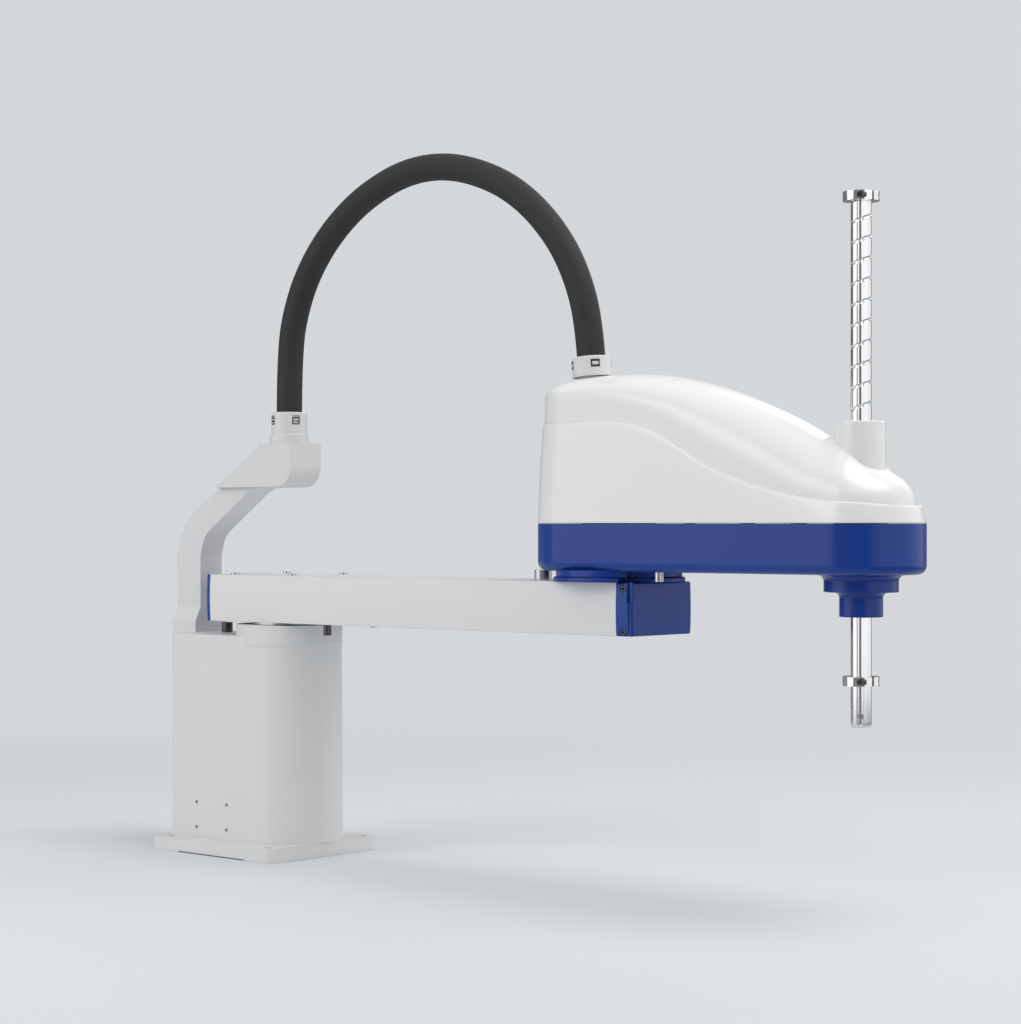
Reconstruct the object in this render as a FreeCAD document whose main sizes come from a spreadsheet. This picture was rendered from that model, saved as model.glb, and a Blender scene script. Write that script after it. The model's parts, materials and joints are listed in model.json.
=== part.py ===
import FreeCAD, Part
import math
import os
from types import SimpleNamespace

import Sketcher
from FreeCAD import Placement, Rotation, Vector

# Four-axis horizontal arm robot (SCARA), in millimetres, +Z up.
# Origin: shoulder axis at the underside of the base. +X runs along both arms in the rest pose, +Y to their left.

# Driving dimensions. Each one can be changed by itself.
SIZES = {
    # reach
    "inner_reach": 500,
    "outer_reach": 300,
    # base plate
    "plate_back": 149,
    "plate_front": 62,
    "plate_half": 88,
    "plate_top": 16,
    "plate_corner": 14,
    "pad_height": 1.2,
    "floor_thick": 12,
    "channel_back": 96,
    "channel_deep": 26,
    "channel_front": 18,
    "mount_inset_front": 16.5,
    "mount_inset_back": 28,
    "mount_inset_side": 12,
    "mount_hole": 9,
    # column
    "column_back": 138,
    "column_foot_half": 63.5,
    "column_head_half": 61.5,
    "column_top": 256,
    "column_wall": 8,
    "column_corner": 3.5,
    "roof_thick": 10,
    "ring_radius": 62.5,
    "ring_top": 269,
    "ring_depth": 30,
    "ring_blend": 8,
    "side_hole": 4.2,
    "side_hole_depth": 6,
    "side_hole_low": 28,
    "side_hole_rise": 29.5,
    "side_hole_back": 92.5,
    "side_hole_pitch": 52.5,
    # connector panel on the back of the column
    "panel_half": 44,
    "panel_low": 40,
    "panel_tall": 150,
    "panel_thick": 3,
    "panel_margin": 9,
    "socket_up": 110,
    "port_up": 50,
    # cable duct
    "duct_deep": 42,
    "foot_half": 25,
    "neck_half": 17,
    "head_half": 24,
    "duct_wall": 4,
    "foot_low": 213,
    "foot_tall": 56,
    "foot_flare": 17,
    "back_bend": 60,
    "front_bend": 28,
    "head_top": 481.6,
    "head_tall": 51.6,
    "lip_thick": 4,
    "head_nose": 28,
    "head_radius": 24,
    "duct_screw": 5,
    "duct_screw_rise": 19,
    # glands and hose
    "gland_radius": 21,
    "gland_flange_radius": 23,
    "gland_flange_tall": 10.4,
    "gland_collar_tall": 26,
    "gland_seat_depth": 14,
    "gland_thread_radius": 15,
    "gland_stub": 6,
    "hose_bore": 24,
    "hose_diameter": 30,
    "cover_gland_rim": 21.4,
    "cover_gland_flange": 1.5,
    "cover_gland_tall": 19.5,
    "cover_gland_seat_depth": 12,
    "cover_gland_back": 36.2,
    "cover_gland_lean": 4.5,
    # shoulder drive
    "reducer_radius": 47,
    "reducer_tall": 33,
    "hub_radius": 30,
    "hub_depth": 24,
    "flange_radius": 45,
    "flange_thick": 2.6,
    "shoulder_motor_side": 70,
    "shoulder_motor_long": 132,
    "shoulder_stop_radius": 109,
    "shoulder_post": 13.4,
    "shoulder_post_tall": 12,
    "shoulder_pin": 9,
    "shoulder_pin_long": 12.5,
    "shoulder_pin_short": 5.5,
    "shoulder_pin_angle": 20,
    # inner arm
    "arm_gap": 3,
    "arm_tall": 55,
    "arm_half": 50,
    "arm_bulge": 1,
    "arm_tail": 84,
    "arm_nose": 36,
    "arm_wall": 5.5,
    "tail_cap": 5,
    "front_cap": 21,
    "front_cap_wall": 5,
    "cap_corner": 2.5,
    "cap_notch_long": 6,
    "cap_notch_tall": 21,
    "cap_groove": 3,
    "cap_groove_deep": 1.2,
    "block_half": 60,
    "screw_x": 48.5,
    "screw_y": 41.5,
    "screw_shank": 5,
    "screw_head": 9.5,
    "screw_head_tall": 2.6,
    "side_screw_head": 6.4,
    "side_screw_sunk": 3.2,
    # elbow
    "elbow_gap": 11,
    "ring_plate_radius": 69,
    "ring_plate_thick": 4.6,
    "boss_radius": 66,
    "boss_tall": 5.9,
    "elbow_stop_radius": 105,
    "elbow_post": 18.5,
    "elbow_post_tall": 10.4,
    "elbow_pin": 9,
    "elbow_pin_long": 9.5,
    "elbow_pin_short": 2.6,
    "elbow_pin_angle": 28.5,
    "elbow_reducer_radius": 48,
    "elbow_reducer_tall": 34,
    "elbow_motor_side": 60,
    "elbow_motor_long": 142,
    # outer arm tray
    "tray_half": 62.5,
    "tray_back": 29.5,
    "tray_tall": 49,
    "tray_wall": 6,
    "tray_floor": 8,
    "tray_edge": 9,
    # cover
    "cover_wall": 3,
    "cover_peak": 155,
    "chimney_radius": 24.5,
    "chimney_top_radius": 23.6,
    "chimney_height": 98.7,
    # quill housing and shaft
    "big_flange_radius": 36,
    "big_flange_tall": 17,
    "small_flange_radius": 21,
    "small_flange_tall": 24,
    "flange_cove": 6,
    "flange_lip": 0.6,
    "spigot_radius": 31,
    "quill_radius": 17,
    "bearing_radius": 26,
    "bearing_tall": 24,
    "shaft_diameter": 20,
    "shaft_bore": 11,
    "shaft_low": 190.7,
    "shaft_long": 516.6,
    "spline_width": 4.5,
    "spline_depth": 1.2,
    "cross_hole": 6,
    "cross_hole_up": 10.8,
    "collar_radius": 17.7,
    "collar_tall": 9,
    "lower_collar_up": 40,
    "upper_collar_down": 9.3,
    "collar_slit": 2,
    "collar_screw": 4,
    # belt drives in the outer arm
    "pulley_radius": 24,
    "pulley_tall": 12,
    "motor_pulley_radius": 12,
    "motor_shaft_radius": 5,
    "motor_shaft_grip": 10,
    "flange_rim": 2,
    "belt_width": 9,
    "belt_thick": 2,
    "roll_motor_ahead": 168,
    "lift_motor_ahead": 92,
    "roll_belt_up": 16,
    "lift_belt_up": 34,
    "plate_up": 44,
    "plate_sheet": 6,
    "roll_motor_side": 44,
    "roll_motor_long": 88,
    "lift_motor_side": 54,
    "lift_motor_long": 110,
    "bridge_thick": 14,
    "bridge_radius": 42,
    "post_radius": 5.5,
    # clearances
    "running_gap": 0.05,
    "seat_gap": 0.1,
    "free_gap": 0.3,
}

# The hose's middle line in the plane of the arms: (x, z) of each turn, from the duct's gland to the cover's.
HOSE_ROUTE = [
    (0, 504),
    (0, 590),
    (13.6, 644.7),
    (38.8, 690),
    (78.2, 730.8),
    (128.5, 763),
    (194, 785),
    (260.5, 785),
    (327.5, 763.8),
    (376, 734),
    (417, 693),
    (443.6, 648.7),
    (459.3, 598),
]

doc = FreeCAD.newDocument("ScaraRobot")
sheet = doc.addObject("Spreadsheet::Sheet", "Sizes")
for row, (alias, amount) in enumerate(SIZES.items(), start=1):
    sheet.set(f"A{row}", alias)
    sheet.set(f"B{row}", str(amount))
    sheet.setAlias(f"B{row}", alias)
doc.recompute()


class Size:
    """A length that knows both its value and the sheet formula that it comes from."""

    def __init__(self, amount, formula):
        self.amount = float(amount)
        self.formula = formula

    def __float__(self):
        return self.amount

    def __neg__(self):
        return Size(-self.amount, f"-({self.formula})")

    def __add__(self, other):
        return Size(self.amount + float(other), f"({self.formula} + {words(other)})")

    def __radd__(self, other):
        return Size(float(other) + self.amount, f"({words(other)} + {self.formula})")

    def __sub__(self, other):
        return Size(self.amount - float(other), f"({self.formula} - {words(other)})")

    def __rsub__(self, other):
        return Size(float(other) - self.amount, f"({words(other)} - {self.formula})")

    def __mul__(self, other):
        return Size(self.amount * float(other), f"({self.formula} * {words(other)})")

    def __rmul__(self, other):
        return Size(float(other) * self.amount, f"({words(other)} * {self.formula})")

    def __truediv__(self, other):
        return Size(self.amount / float(other), f"({self.formula} / {words(other)})")


def words(amount):
    """The formula of a Size, or a plain number as text."""
    return amount.formula if isinstance(amount, Size) else repr(float(amount))


s = SimpleNamespace(**{alias: Size(sheet.get(alias), f"Sizes.{alias}") for alias in SIZES})


def bind(thing, prop, amount):
    """Ties one property of a document object to the sheet."""
    thing.setExpression(prop, words(amount))


def at(thing, x=0, y=0, z=0):
    """Ties the place of a document object to the sheet."""
    for axis, amount in (("x", x), ("y", y), ("z", z)):
        bind(thing, f"Placement.Base.{axis}", amount)
    return thing


SUB_PARTS = []


def keep(thing, label):
    """Names a finished sub-part and puts it on the list of parts to write."""
    thing.Label = label
    SUB_PARTS.append(thing)
    return thing


# Levels and axes worked out from the driving dimensions
arm_low = s.ring_top + s.arm_gap
arm_top = arm_low + s.arm_tall
arm_middle = arm_low + s.arm_tall / 2
tray_low = arm_top + s.elbow_gap
tray_top = tray_low + s.tray_tall
tray_deck = tray_low + s.tray_floor
elbow = s.inner_reach
quill = s.inner_reach + s.outer_reach
tray_rear = elbow - s.tray_back
bore_half = s.reducer_radius + s.seat_gap

# The shaft rests turned so that one of its grooves faces the front right, in degrees about Z.
SHAFT_TURN = -62

# The collars are clamped on with their screws towards the front right, in degrees about Z.
COLLAR_TURN = -107


class Piece:
    """A part design body, with its sketches and features in the order they are made."""

    def __init__(self, label):
        self.body = doc.addObject("PartDesign::Body", label)
        keep(self.body, label)

    def plane(self, role):
        return next(f for f in self.body.Origin.OriginFeatures if f.Role == role)

    def sketch(self, role="XY_Plane", offset=0, x=0, y=0):
        """An empty sketch on one of the body's own planes, offset along the plane's normal."""
        made = self.body.newObject("Sketcher::SketchObject", f"{self.body.Name}_sketch")
        made.AttachmentSupport = [(self.plane(role), "")]
        made.MapMode = "FlatFace"
        for axis, amount in (("x", x), ("y", y), ("z", offset)):
            bind(made, f"AttachmentOffset.Base.{axis}", amount)
        return made

    def feature(self, kind, sketch=None):
        made = self.body.newObject(f"PartDesign::{kind}", f"{self.body.Name}_{kind}")
        if sketch is not None:
            made.Profile = sketch
        return made

    def done(self, made):
        doc.recompute()
        return made

    def pad(self, sketch, length, both=False, back=False, draft=0):
        made = self.feature("Pad", sketch)
        bind(made, "Length", length)
        made.Midplane = both
        made.Reversed = back
        made.TaperAngle = draft
        return self.done(made)

    def pocket(self, sketch, length, both=False, ahead=False):
        """Cuts against the sketch's normal, or along it where ahead is set. The volume has to fall."""
        before = self.body.Shape.Volume
        made = self.feature("Pocket", sketch)
        bind(made, "Length", length)
        made.Midplane = both
        made.Reversed = ahead
        self.done(made)
        if not self.body.Shape.Volume < before - 0.01:
            raise RuntimeError(f"{self.body.Label}: a pocket cut nothing")
        return made

    def turn(self, sketch):
        """Turns a half section round the sketch's own vertical axis."""
        made = self.feature("Revolution", sketch)
        made.ReferenceAxis = (sketch, ["V_Axis"])
        made.Angle = 360
        return self.done(made)

    def groove(self, sketch):
        before = self.body.Shape.Volume
        made = self.feature("Groove", sketch)
        made.ReferenceAxis = (sketch, ["V_Axis"])
        made.Angle = 360
        self.done(made)
        if not self.body.Shape.Volume < before - 0.01:
            raise RuntimeError(f"{self.body.Label}: a groove cut nothing")
        return made

    def loft(self, lower, upper):
        made = self.feature("AdditiveLoft", lower)
        made.Sections = [upper]
        made.Ruled = True
        return self.done(made)

    def around(self, features, count):
        """Repeats features round the body's Z axis."""
        made = self.feature("PolarPattern")
        made.Originals = features
        made.Axis = (self.plane("Z_Axis"), [""])
        made.Angle = 360
        made.Occurrences = count
        self.body.Tip = made
        return self.done(made)

    def edge_feature(self, kind, prop, amount, chosen):
        tip = self.body.Tip
        names = [f"Edge{i}" for i, edge in enumerate(tip.Shape.Edges, start=1) if chosen(edge)]
        if not names:
            raise RuntimeError(f"{self.body.Label}: no edge for its {kind.lower()}")
        made = self.feature(kind)
        made.Base = (tip, names)
        bind(made, prop, amount)
        return self.done(made)

    def fillet(self, radius, chosen):
        return self.edge_feature("Fillet", "Radius", radius, chosen)

    def chamfer(self, size, chosen):
        return self.edge_feature("Chamfer", "Size", size, chosen)


def fix(sketch, geometry, end, x, y):
    """Holds a point of the sketch at (x, y), each tied to the sheet. A plain 0 is held on the axis."""
    for kind, amount, axis in (("DistanceX", x, -2), ("DistanceY", y, -1)):
        if not isinstance(amount, Size) and amount == 0:
            sketch.addConstraint(Sketcher.Constraint("PointOnObject", geometry, end, axis))
            continue
        row = sketch.addConstraint(Sketcher.Constraint(kind, -1, 1, geometry, end, float(amount)))
        if isinstance(amount, Size):
            sketch.setExpression(f"Constraints[{row}]", amount.formula)


def flat(x, y):
    return Vector(float(x), float(y), 0)


def polygon(sketch, points):
    """A closed outline of straight sides."""
    first = sketch.GeometryCount
    count = len(points)
    for i, point in enumerate(points):
        sketch.addGeometry(Part.LineSegment(flat(*point), flat(*points[(i + 1) % count])), False)
    for i, point in enumerate(points):
        joint = (first + i, 2, first + (i + 1) % count, 1)
        sketch.addConstraint(Sketcher.Constraint("Coincident", *joint))
        fix(sketch, first + i, 1, *point)
    return sketch


def box_outline(sketch, left, right, low, high):
    return polygon(sketch, [(left, low), (right, low), (right, high), (left, high)])


def circle(sketch, x, y, radius):
    made = sketch.addGeometry(Part.Circle(flat(x, y), Vector(0, 0, 1), float(radius)), False)
    fix(sketch, made, 3, x, y)
    row = sketch.addConstraint(Sketcher.Constraint("Radius", made, float(radius)))
    sketch.setExpression(f"Constraints[{row}]", words(radius))
    return sketch


def arc(sketch, x, y, radius, start, stop):
    """An arc about (x, y), from one angle to another in degrees, with its centre and radius tied to the sheet."""
    ring = Part.Circle(flat(x, y), Vector(0, 0, 1), float(radius))
    made = sketch.addGeometry(Part.ArcOfCircle(ring, math.radians(start), math.radians(stop)), False)
    fix(sketch, made, 3, x, y)
    row = sketch.addConstraint(Sketcher.Constraint("Radius", made, float(radius)))
    sketch.setExpression(f"Constraints[{row}]", words(radius))
    return made


def line(sketch, start, stop):
    return sketch.addGeometry(Part.LineSegment(flat(*start), flat(*stop)), False)


def tangent(sketch, first, first_end, second, second_end):
    sketch.addConstraint(Sketcher.Constraint("Tangent", first, first_end, second, second_end))


def slot(sketch, rear, front, radius, rear_radius=None):
    """A long round-ended outline along the sketch's X axis, between two centres. The ends may differ in size."""
    rear_radius = rear_radius or radius
    tail = arc(sketch, rear, 0, rear_radius, 90, 270)
    nose = arc(sketch, front, 0, radius, -90, 90)
    far_side = line(sketch, (front, radius), (rear, rear_radius))
    near_side = line(sketch, (rear, -rear_radius), (front, -radius))
    tangent(sketch, nose, 2, far_side, 1)
    tangent(sketch, far_side, 2, tail, 1)
    tangent(sketch, tail, 2, near_side, 1)
    tangent(sketch, near_side, 2, nose, 1)
    return sketch


def dee(sketch, back, radius):
    """A straight back at x = -back, two straight sides and a half-round front about the origin."""
    front = arc(sketch, 0, 0, radius, -90, 90)
    far_side = line(sketch, (0, radius), (-back, radius))
    rear = line(sketch, (-back, radius), (-back, -radius))
    near_side = line(sketch, (-back, -radius), (0, -radius))
    tangent(sketch, front, 2, far_side, 1)
    tangent(sketch, near_side, 2, front, 1)
    sketch.addConstraint(Sketcher.Constraint("Coincident", far_side, 2, rear, 1))
    sketch.addConstraint(Sketcher.Constraint("Coincident", rear, 2, near_side, 1))
    sketch.addConstraint(Sketcher.Constraint("Vertical", rear))
    row = sketch.addConstraint(Sketcher.Constraint("DistanceX", -1, 1, rear, 1, float(-back)))
    sketch.setExpression(f"Constraints[{row}]", words(-back))
    return sketch


def upright(edge):
    """True for a straight edge that runs along Z."""
    box = edge.BoundBox
    return box.ZLength > 1 and box.XLength < 0.01 and box.YLength < 0.01


def level(edge, height):
    """True for an edge that lies flat at a height."""
    box = edge.BoundBox
    return abs(box.ZMin - float(height)) < 0.01 and abs(box.ZMax - float(height)) < 0.01


def cylinder(label, radius, low, tall, x=0, y=0):
    made = doc.addObject("Part::Cylinder", label)
    bind(made, "Radius", radius)
    bind(made, "Height", tall)
    return at(made, x, y, low)


def block(label, left, right, near, far, low, high):
    made = doc.addObject("Part::Box", label)
    bind(made, "Length", right - left)
    bind(made, "Width", far - near)
    bind(made, "Height", high - low)
    return at(made, left, near, low)


def cut(label, base, tool):
    made = doc.addObject("Part::Cut", label)
    made.Base = base
    made.Tool = tool
    doc.recompute()
    return made


def fuse(label, shapes):
    made = doc.addObject("Part::MultiFuse", label)
    made.Shapes = shapes
    doc.recompute()
    return made


def group(label, shapes):
    """Separate solids that share one node, such as identical screws."""
    made = doc.addObject("Part::Compound", label)
    made.Links = shapes
    doc.recompute()
    return keep(made, label)


def ring(label, outer, inner, low, tall, x=0, y=0):
    body = cylinder(f"{label}_blank", outer, low, tall, x, y)
    hole = cylinder(f"{label}_bore", inner, low - 1, tall + 2, x, y)
    return cut(label, body, hole)


def screw(label, x, y, z, direction, shank_long, head_radius=None, head_tall=None):
    """A button or cap screw: (x, y, z) is the seat of its head, and direction points out of the head."""
    head = doc.addObject("Part::Cylinder", f"{label}_head")
    bind(head, "Radius", head_radius or s.screw_head / 2)
    bind(head, "Height", head_tall or s.screw_head_tall)
    shank = doc.addObject("Part::Cylinder", f"{label}_shank")
    bind(shank, "Radius", s.screw_shank / 2 - s.seat_gap)
    bind(shank, "Height", shank_long)
    turn = Rotation(Vector(0, 0, 1), Vector(*direction))
    head.Placement = Placement(Vector(), turn)
    shank.Placement = Placement(Vector(), turn)
    at(head, x, y, z)
    at(shank, *(place - step * shank_long for place, step in zip((x, y, z), direction)))
    return fuse(label, [head, shank])


def motor(label, x, low, side, long, shaft_up, shaft_bore=False):
    """A square servo motor: a body with a front flange and a smaller feedback cap at its back."""
    piece = Piece(label)
    corner = side / 2
    cap = corner - 5
    flange = 8
    base = low if shaft_up is False else low + long - flange
    outline = box_outline(piece.sketch(offset=base, x=x), -corner, corner, -corner, corner)
    piece.pad(outline, flange)
    body_low = low + 26 if shaft_up else low + flange
    body_tall = long - flange - 26
    drum = piece.sketch(offset=body_low, x=x)
    box_outline(drum, -corner + 1.5, corner - 1.5, -corner + 1.5, corner - 1.5)
    piece.pad(drum, body_tall)
    piece.fillet(3.0, upright)
    cap_low = low if shaft_up else low + long - 26
    back = box_outline(piece.sketch(offset=cap_low, x=x), -cap, cap, -cap, cap)
    piece.pad(back, 26)
    if shaft_bore:
        hole = circle(piece.sketch(offset=low, x=x), 0, 0, s.motor_shaft_radius + s.running_gap)
        piece.pocket(hole, s.motor_shaft_grip + 1, ahead=True)
    return piece


def base_column():
    """The cast column on its foot plate, hollow above its floor, with the shoulder bore in its roof."""
    piece = Piece("base_column")
    plate = piece.sketch()
    box_outline(plate, -s.plate_back, s.plate_front, -s.plate_half, s.plate_half)
    piece.pad(plate, s.plate_top)
    piece.fillet(s.plate_corner, upright)

    lower = dee(piece.sketch(offset=s.plate_top), s.column_back, s.column_foot_half)
    upper = dee(piece.sketch(offset=s.column_top), s.column_back, s.column_head_half)
    piece.loft(lower, upper)

    def back_corner(edge):
        box = edge.BoundBox
        return box.ZMin > float(s.plate_top) - 1 and box.ZLength > 50 and box.XMax < -float(s.column_back) + 1

    piece.fillet(s.column_corner, back_corner)

    boss = piece.sketch("XZ_Plane")
    foot = s.ring_top - s.ring_depth
    sunk = s.column_head_half - 1
    boss_points = [(0, foot), (sunk, foot), (s.ring_radius, foot + s.ring_blend)]
    polygon(boss, boss_points + [(s.ring_radius, s.ring_top), (0, s.ring_top)])
    piece.turn(boss)

    inside = piece.sketch(offset=s.floor_thick)
    roof = s.column_top - s.roof_thick
    dee(inside, s.column_back - s.column_wall, s.column_head_half - s.column_wall)
    piece.pocket(inside, roof - s.floor_thick, ahead=True)
    bore = circle(piece.sketch(offset=s.ring_top), 0, 0, bore_half)
    piece.pocket(bore, s.ring_top - roof + 1)

    w = s.plate_half
    for near, far in ((-w - 1, -w + s.channel_deep), (w - s.channel_deep, w + 1)):
        relief = piece.sketch()
        box_outline(relief, -s.channel_back, s.channel_front, near, far)
        piece.pocket(relief, s.pad_height, ahead=True)

    holes = piece.sketch(offset=s.plate_top)
    for x in (-s.plate_back + s.mount_inset_back, s.plate_front - s.mount_inset_front):
        for y in (-w + s.mount_inset_side, w - s.mount_inset_side):
            circle(holes, x, y, s.mount_hole / 2)
    piece.pocket(holes, s.plate_top)

    wall = s.column_foot_half + 1
    for sign in (-1, 1):
        taps = piece.sketch("XZ_Plane", offset=-sign * wall)
        for column in range(2):
            for rise in range(2):
                x = -s.side_hole_back + column * s.side_hole_pitch
                circle(taps, x, s.side_hole_low + rise * s.side_hole_rise, s.side_hole / 2)
        piece.pocket(taps, s.side_hole_depth + 2, ahead=sign > 0)

    window = piece.sketch("YZ_Plane", offset=-s.column_back - 1)
    edge = s.panel_margin
    low = s.panel_low + edge
    box_outline(window, -s.panel_half + edge, s.panel_half - edge, low, low + s.panel_tall - 2 * edge)
    passage = s.neck_half - s.duct_wall
    box_outline(window, -passage, passage, s.foot_low + s.duct_wall + 4, s.column_top - s.roof_thick - 2)
    for y, z in duct_screw_places():
        circle(window, y, z, s.duct_screw / 2 + s.seat_gap)
    for y, z in panel_screw_places():
        circle(window, y, z, s.screw_shank / 2)
    piece.pocket(window, s.column_wall + 2, ahead=True)


def duct_screw_places():
    """The four screws that hold the duct's foot, as (y, z) on the back of the column."""
    y = s.foot_half - 5.5
    low = s.foot_low + 6.5
    return [(sign * y, z) for sign in (-1, 1) for z in (low, low + s.duct_screw_rise)]


def rear_panel():
    """The connector plate over the opening in the back of the column, with its sockets and air fittings."""
    face = -s.column_back
    piece = Piece("rear_panel")
    high = s.panel_low + s.panel_tall
    sheet_metal = piece.sketch("YZ_Plane", offset=face)
    box_outline(sheet_metal, -s.panel_half, s.panel_half, s.panel_low, high)
    piece.pad(sheet_metal, s.panel_thick, back=True)
    outside = face - s.panel_thick
    power_at = (-18, s.panel_low + s.socket_up)
    signal_at = (18, s.panel_low + s.socket_up)
    holes = piece.sketch("YZ_Plane", offset=outside)
    circle(holes, *power_at, 13 + s.seat_gap)
    gap = s.seat_gap
    box_outline(holes, 2 - gap, 34 + gap, signal_at[1] - 9 - gap, signal_at[1] + 9 + gap)
    air_places = [(y, s.panel_low + s.port_up) for y in (-22, 0, 22)]
    for y, z in air_places:
        circle(holes, y, z, 5 + s.seat_gap)
    corners = panel_screw_places()
    for y, z in corners:
        circle(holes, y, z, s.screw_shank / 2)
    piece.pocket(holes, s.panel_thick, ahead=True)

    power = Piece("power_socket")
    barrel = circle(power.sketch("YZ_Plane", offset=face + 14), *power_at, 13)
    power.pad(barrel, 14 + s.panel_thick + 9, back=True)
    power.pad(circle(power.sketch("YZ_Plane", offset=outside), *power_at, 16), 3, back=True)
    mouth = circle(power.sketch("YZ_Plane", offset=outside - 9), *power_at, 10.5)
    power.pocket(mouth, 12, ahead=True)

    signal = Piece("signal_socket")
    low, top = signal_at[1] - 9, signal_at[1] + 9
    body = box_outline(signal.sketch("YZ_Plane", offset=face + 12), 2, 34, low, top)
    signal.pad(body, 12 + s.panel_thick + 6, back=True)
    rim = box_outline(signal.sketch("YZ_Plane", offset=outside), -1, 37, low - 3, top + 3)
    signal.pad(rim, 1.5, back=True)
    mouth = box_outline(signal.sketch("YZ_Plane", offset=outside - 6), 4.5, 31.5, low + 2.5, top - 2.5)
    signal.pocket(mouth, 9, ahead=True)

    fittings = []
    for number, (y, z) in enumerate(air_places):
        turned = doc.addObject("Part::Cylinder", f"air_stem_{number}")
        bind(turned, "Radius", 5)
        bind(turned, "Height", 10 + s.panel_thick + 12)
        collar = doc.addObject("Part::Cylinder", f"air_hex_{number}")
        bind(collar, "Radius", 8)
        bind(collar, "Height", 4)
        hole = doc.addObject("Part::Cylinder", f"air_hole_{number}")
        bind(hole, "Radius", 3)
        bind(hole, "Height", 30 + s.panel_thick)
        for shape, x in ((turned, face + 10), (collar, outside), (hole, face + 11)):
            shape.Placement = Placement(Vector(), Rotation(Vector(0, 0, 1), Vector(-1, 0, 0)))
            at(shape, x, y, z)
        stem = fuse(f"air_body_{number}", [turned, collar])
        fittings.append(cut(f"air_fitting_{number}", stem, hole))
    group("air_fittings", fittings)

    depth = s.panel_thick + s.column_wall - 2
    screws = [screw(f"panel_screw_{i}", outside, y, z, (-1, 0, 0), depth) for i, (y, z) in enumerate(corners)]
    group("rear_panel_screws", screws)


def panel_screw_places():
    inset = s.panel_margin / 2
    high = s.panel_low + s.panel_tall
    side = s.panel_half - inset
    return [(y, z) for y in (-side, side) for z in (s.panel_low + inset, high - inset)]


def duct_line():
    """The duct's side view: its back from the foot up to the lip, then its front back down to the foot."""
    front = -s.column_back
    back = front - s.duct_deep
    lip = s.head_top - s.lip_thick
    floor = s.head_top - s.head_tall
    rear = [(back, s.foot_low), (back, floor - 78), (back + 7, floor - 54), (back + 30, floor - 29)]
    head = [(-27, lip), (-27, s.head_top), (s.head_nose, s.head_top), (s.head_nose, floor)]
    throat = [(-33, floor), (-44.5, floor - 1.7), (-54.9, floor - 6.8)]
    under = throat + [(front + 8, floor - 57), (front, floor - 80), (front, s.foot_low)]
    return rear + head + under


def cable_duct():
    """The goose-neck casting that takes the cables from the column's back up over the shoulder axis."""
    piece = Piece("cable_duct")
    points = duct_line()
    side = polygon(piece.sketch("XZ_Plane"), points)
    piece.pad(side, s.neck_half * 2, both=True)
    floor = s.head_top - s.head_tall
    back_x, back_z = points[3]
    lip_x, lip_z = points[4]
    slope = (float(lip_z) - float(back_z)) / (float(lip_x) - float(back_x))
    cheek_x = back_x + (floor - back_z) * (1 / slope)
    cheek = polygon(piece.sketch("XZ_Plane"), [(cheek_x, floor)] + points[4:8])
    piece.pad(cheek, s.head_half * 2, both=True)
    front = -s.column_back
    foot = piece.sketch("YZ_Plane", offset=front)
    wide, slim = s.foot_half, s.neck_half
    crest = s.foot_low + s.foot_tall
    flare = crest + s.foot_flare
    right_side = [(wide, s.foot_low), (wide, crest), (slim, flare)]
    polygon(foot, right_side + [(-slim, flare), (-wide, crest), (-wide, s.foot_low)])
    piece.pad(foot, s.duct_deep, back=True)

    def nose_edge(edge):
        box = edge.BoundBox
        return level(edge, floor) and abs(box.XMin - float(s.head_nose)) < 0.01 and box.YLength > 10

    piece.fillet(s.head_radius, nose_edge)

    def across(edge, corners):
        box = edge.BoundBox
        if box.YLength < 30 or box.XLength > 0.01 or box.ZLength > 0.01:
            return False
        return any(abs(box.XMin - float(x)) < 0.01 and abs(box.ZMin - float(z)) < 0.01 for x, z in corners)

    piece.fillet(s.back_bend, lambda edge: across(edge, points[1:3]))
    piece.fillet(s.front_bend, lambda edge: across(edge, points[11:13]))

    inner = s.neck_half - s.duct_wall
    wall = s.duct_wall
    slant = wall * 1.25
    back = front - s.duct_deep
    gate = s.column_top - s.roof_thick
    low_path = [(back + wall, s.foot_low + wall), (front + 1, s.foot_low + wall), (front + 1, gate)]
    up_path = [(front - wall, gate), (front - wall, floor - 77), (front + 4, floor - 52)]
    head_path = [(-43, floor + wall), (14, floor + wall), (14, s.head_top - 10), (-26, s.head_top - 10)]
    down_path = [(back + 32, floor - 29 - slant), (back + 11, floor - 56), (back + wall, floor - 80)]
    passage = polygon(piece.sketch("XZ_Plane"), low_path + up_path + head_path + down_path)
    piece.pocket(passage, inner * 2, both=True)
    mouth = circle(piece.sketch(offset=s.head_top), 0, 0, s.gland_thread_radius + s.seat_gap)
    piece.pocket(mouth, 11)
    taps = piece.sketch("YZ_Plane", offset=front)
    for y, z in duct_screw_places():
        circle(taps, y, z, s.duct_screw / 2 + s.seat_gap)
    piece.pocket(taps, 12)

    inside = front + s.column_wall
    places = duct_screw_places()
    grip = s.column_wall + 10
    screws = [screw(f"duct_screw_{i}", inside, y, z, (1, 0, 0), grip) for i, (y, z) in enumerate(places)]
    group("duct_screws", screws)


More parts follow.
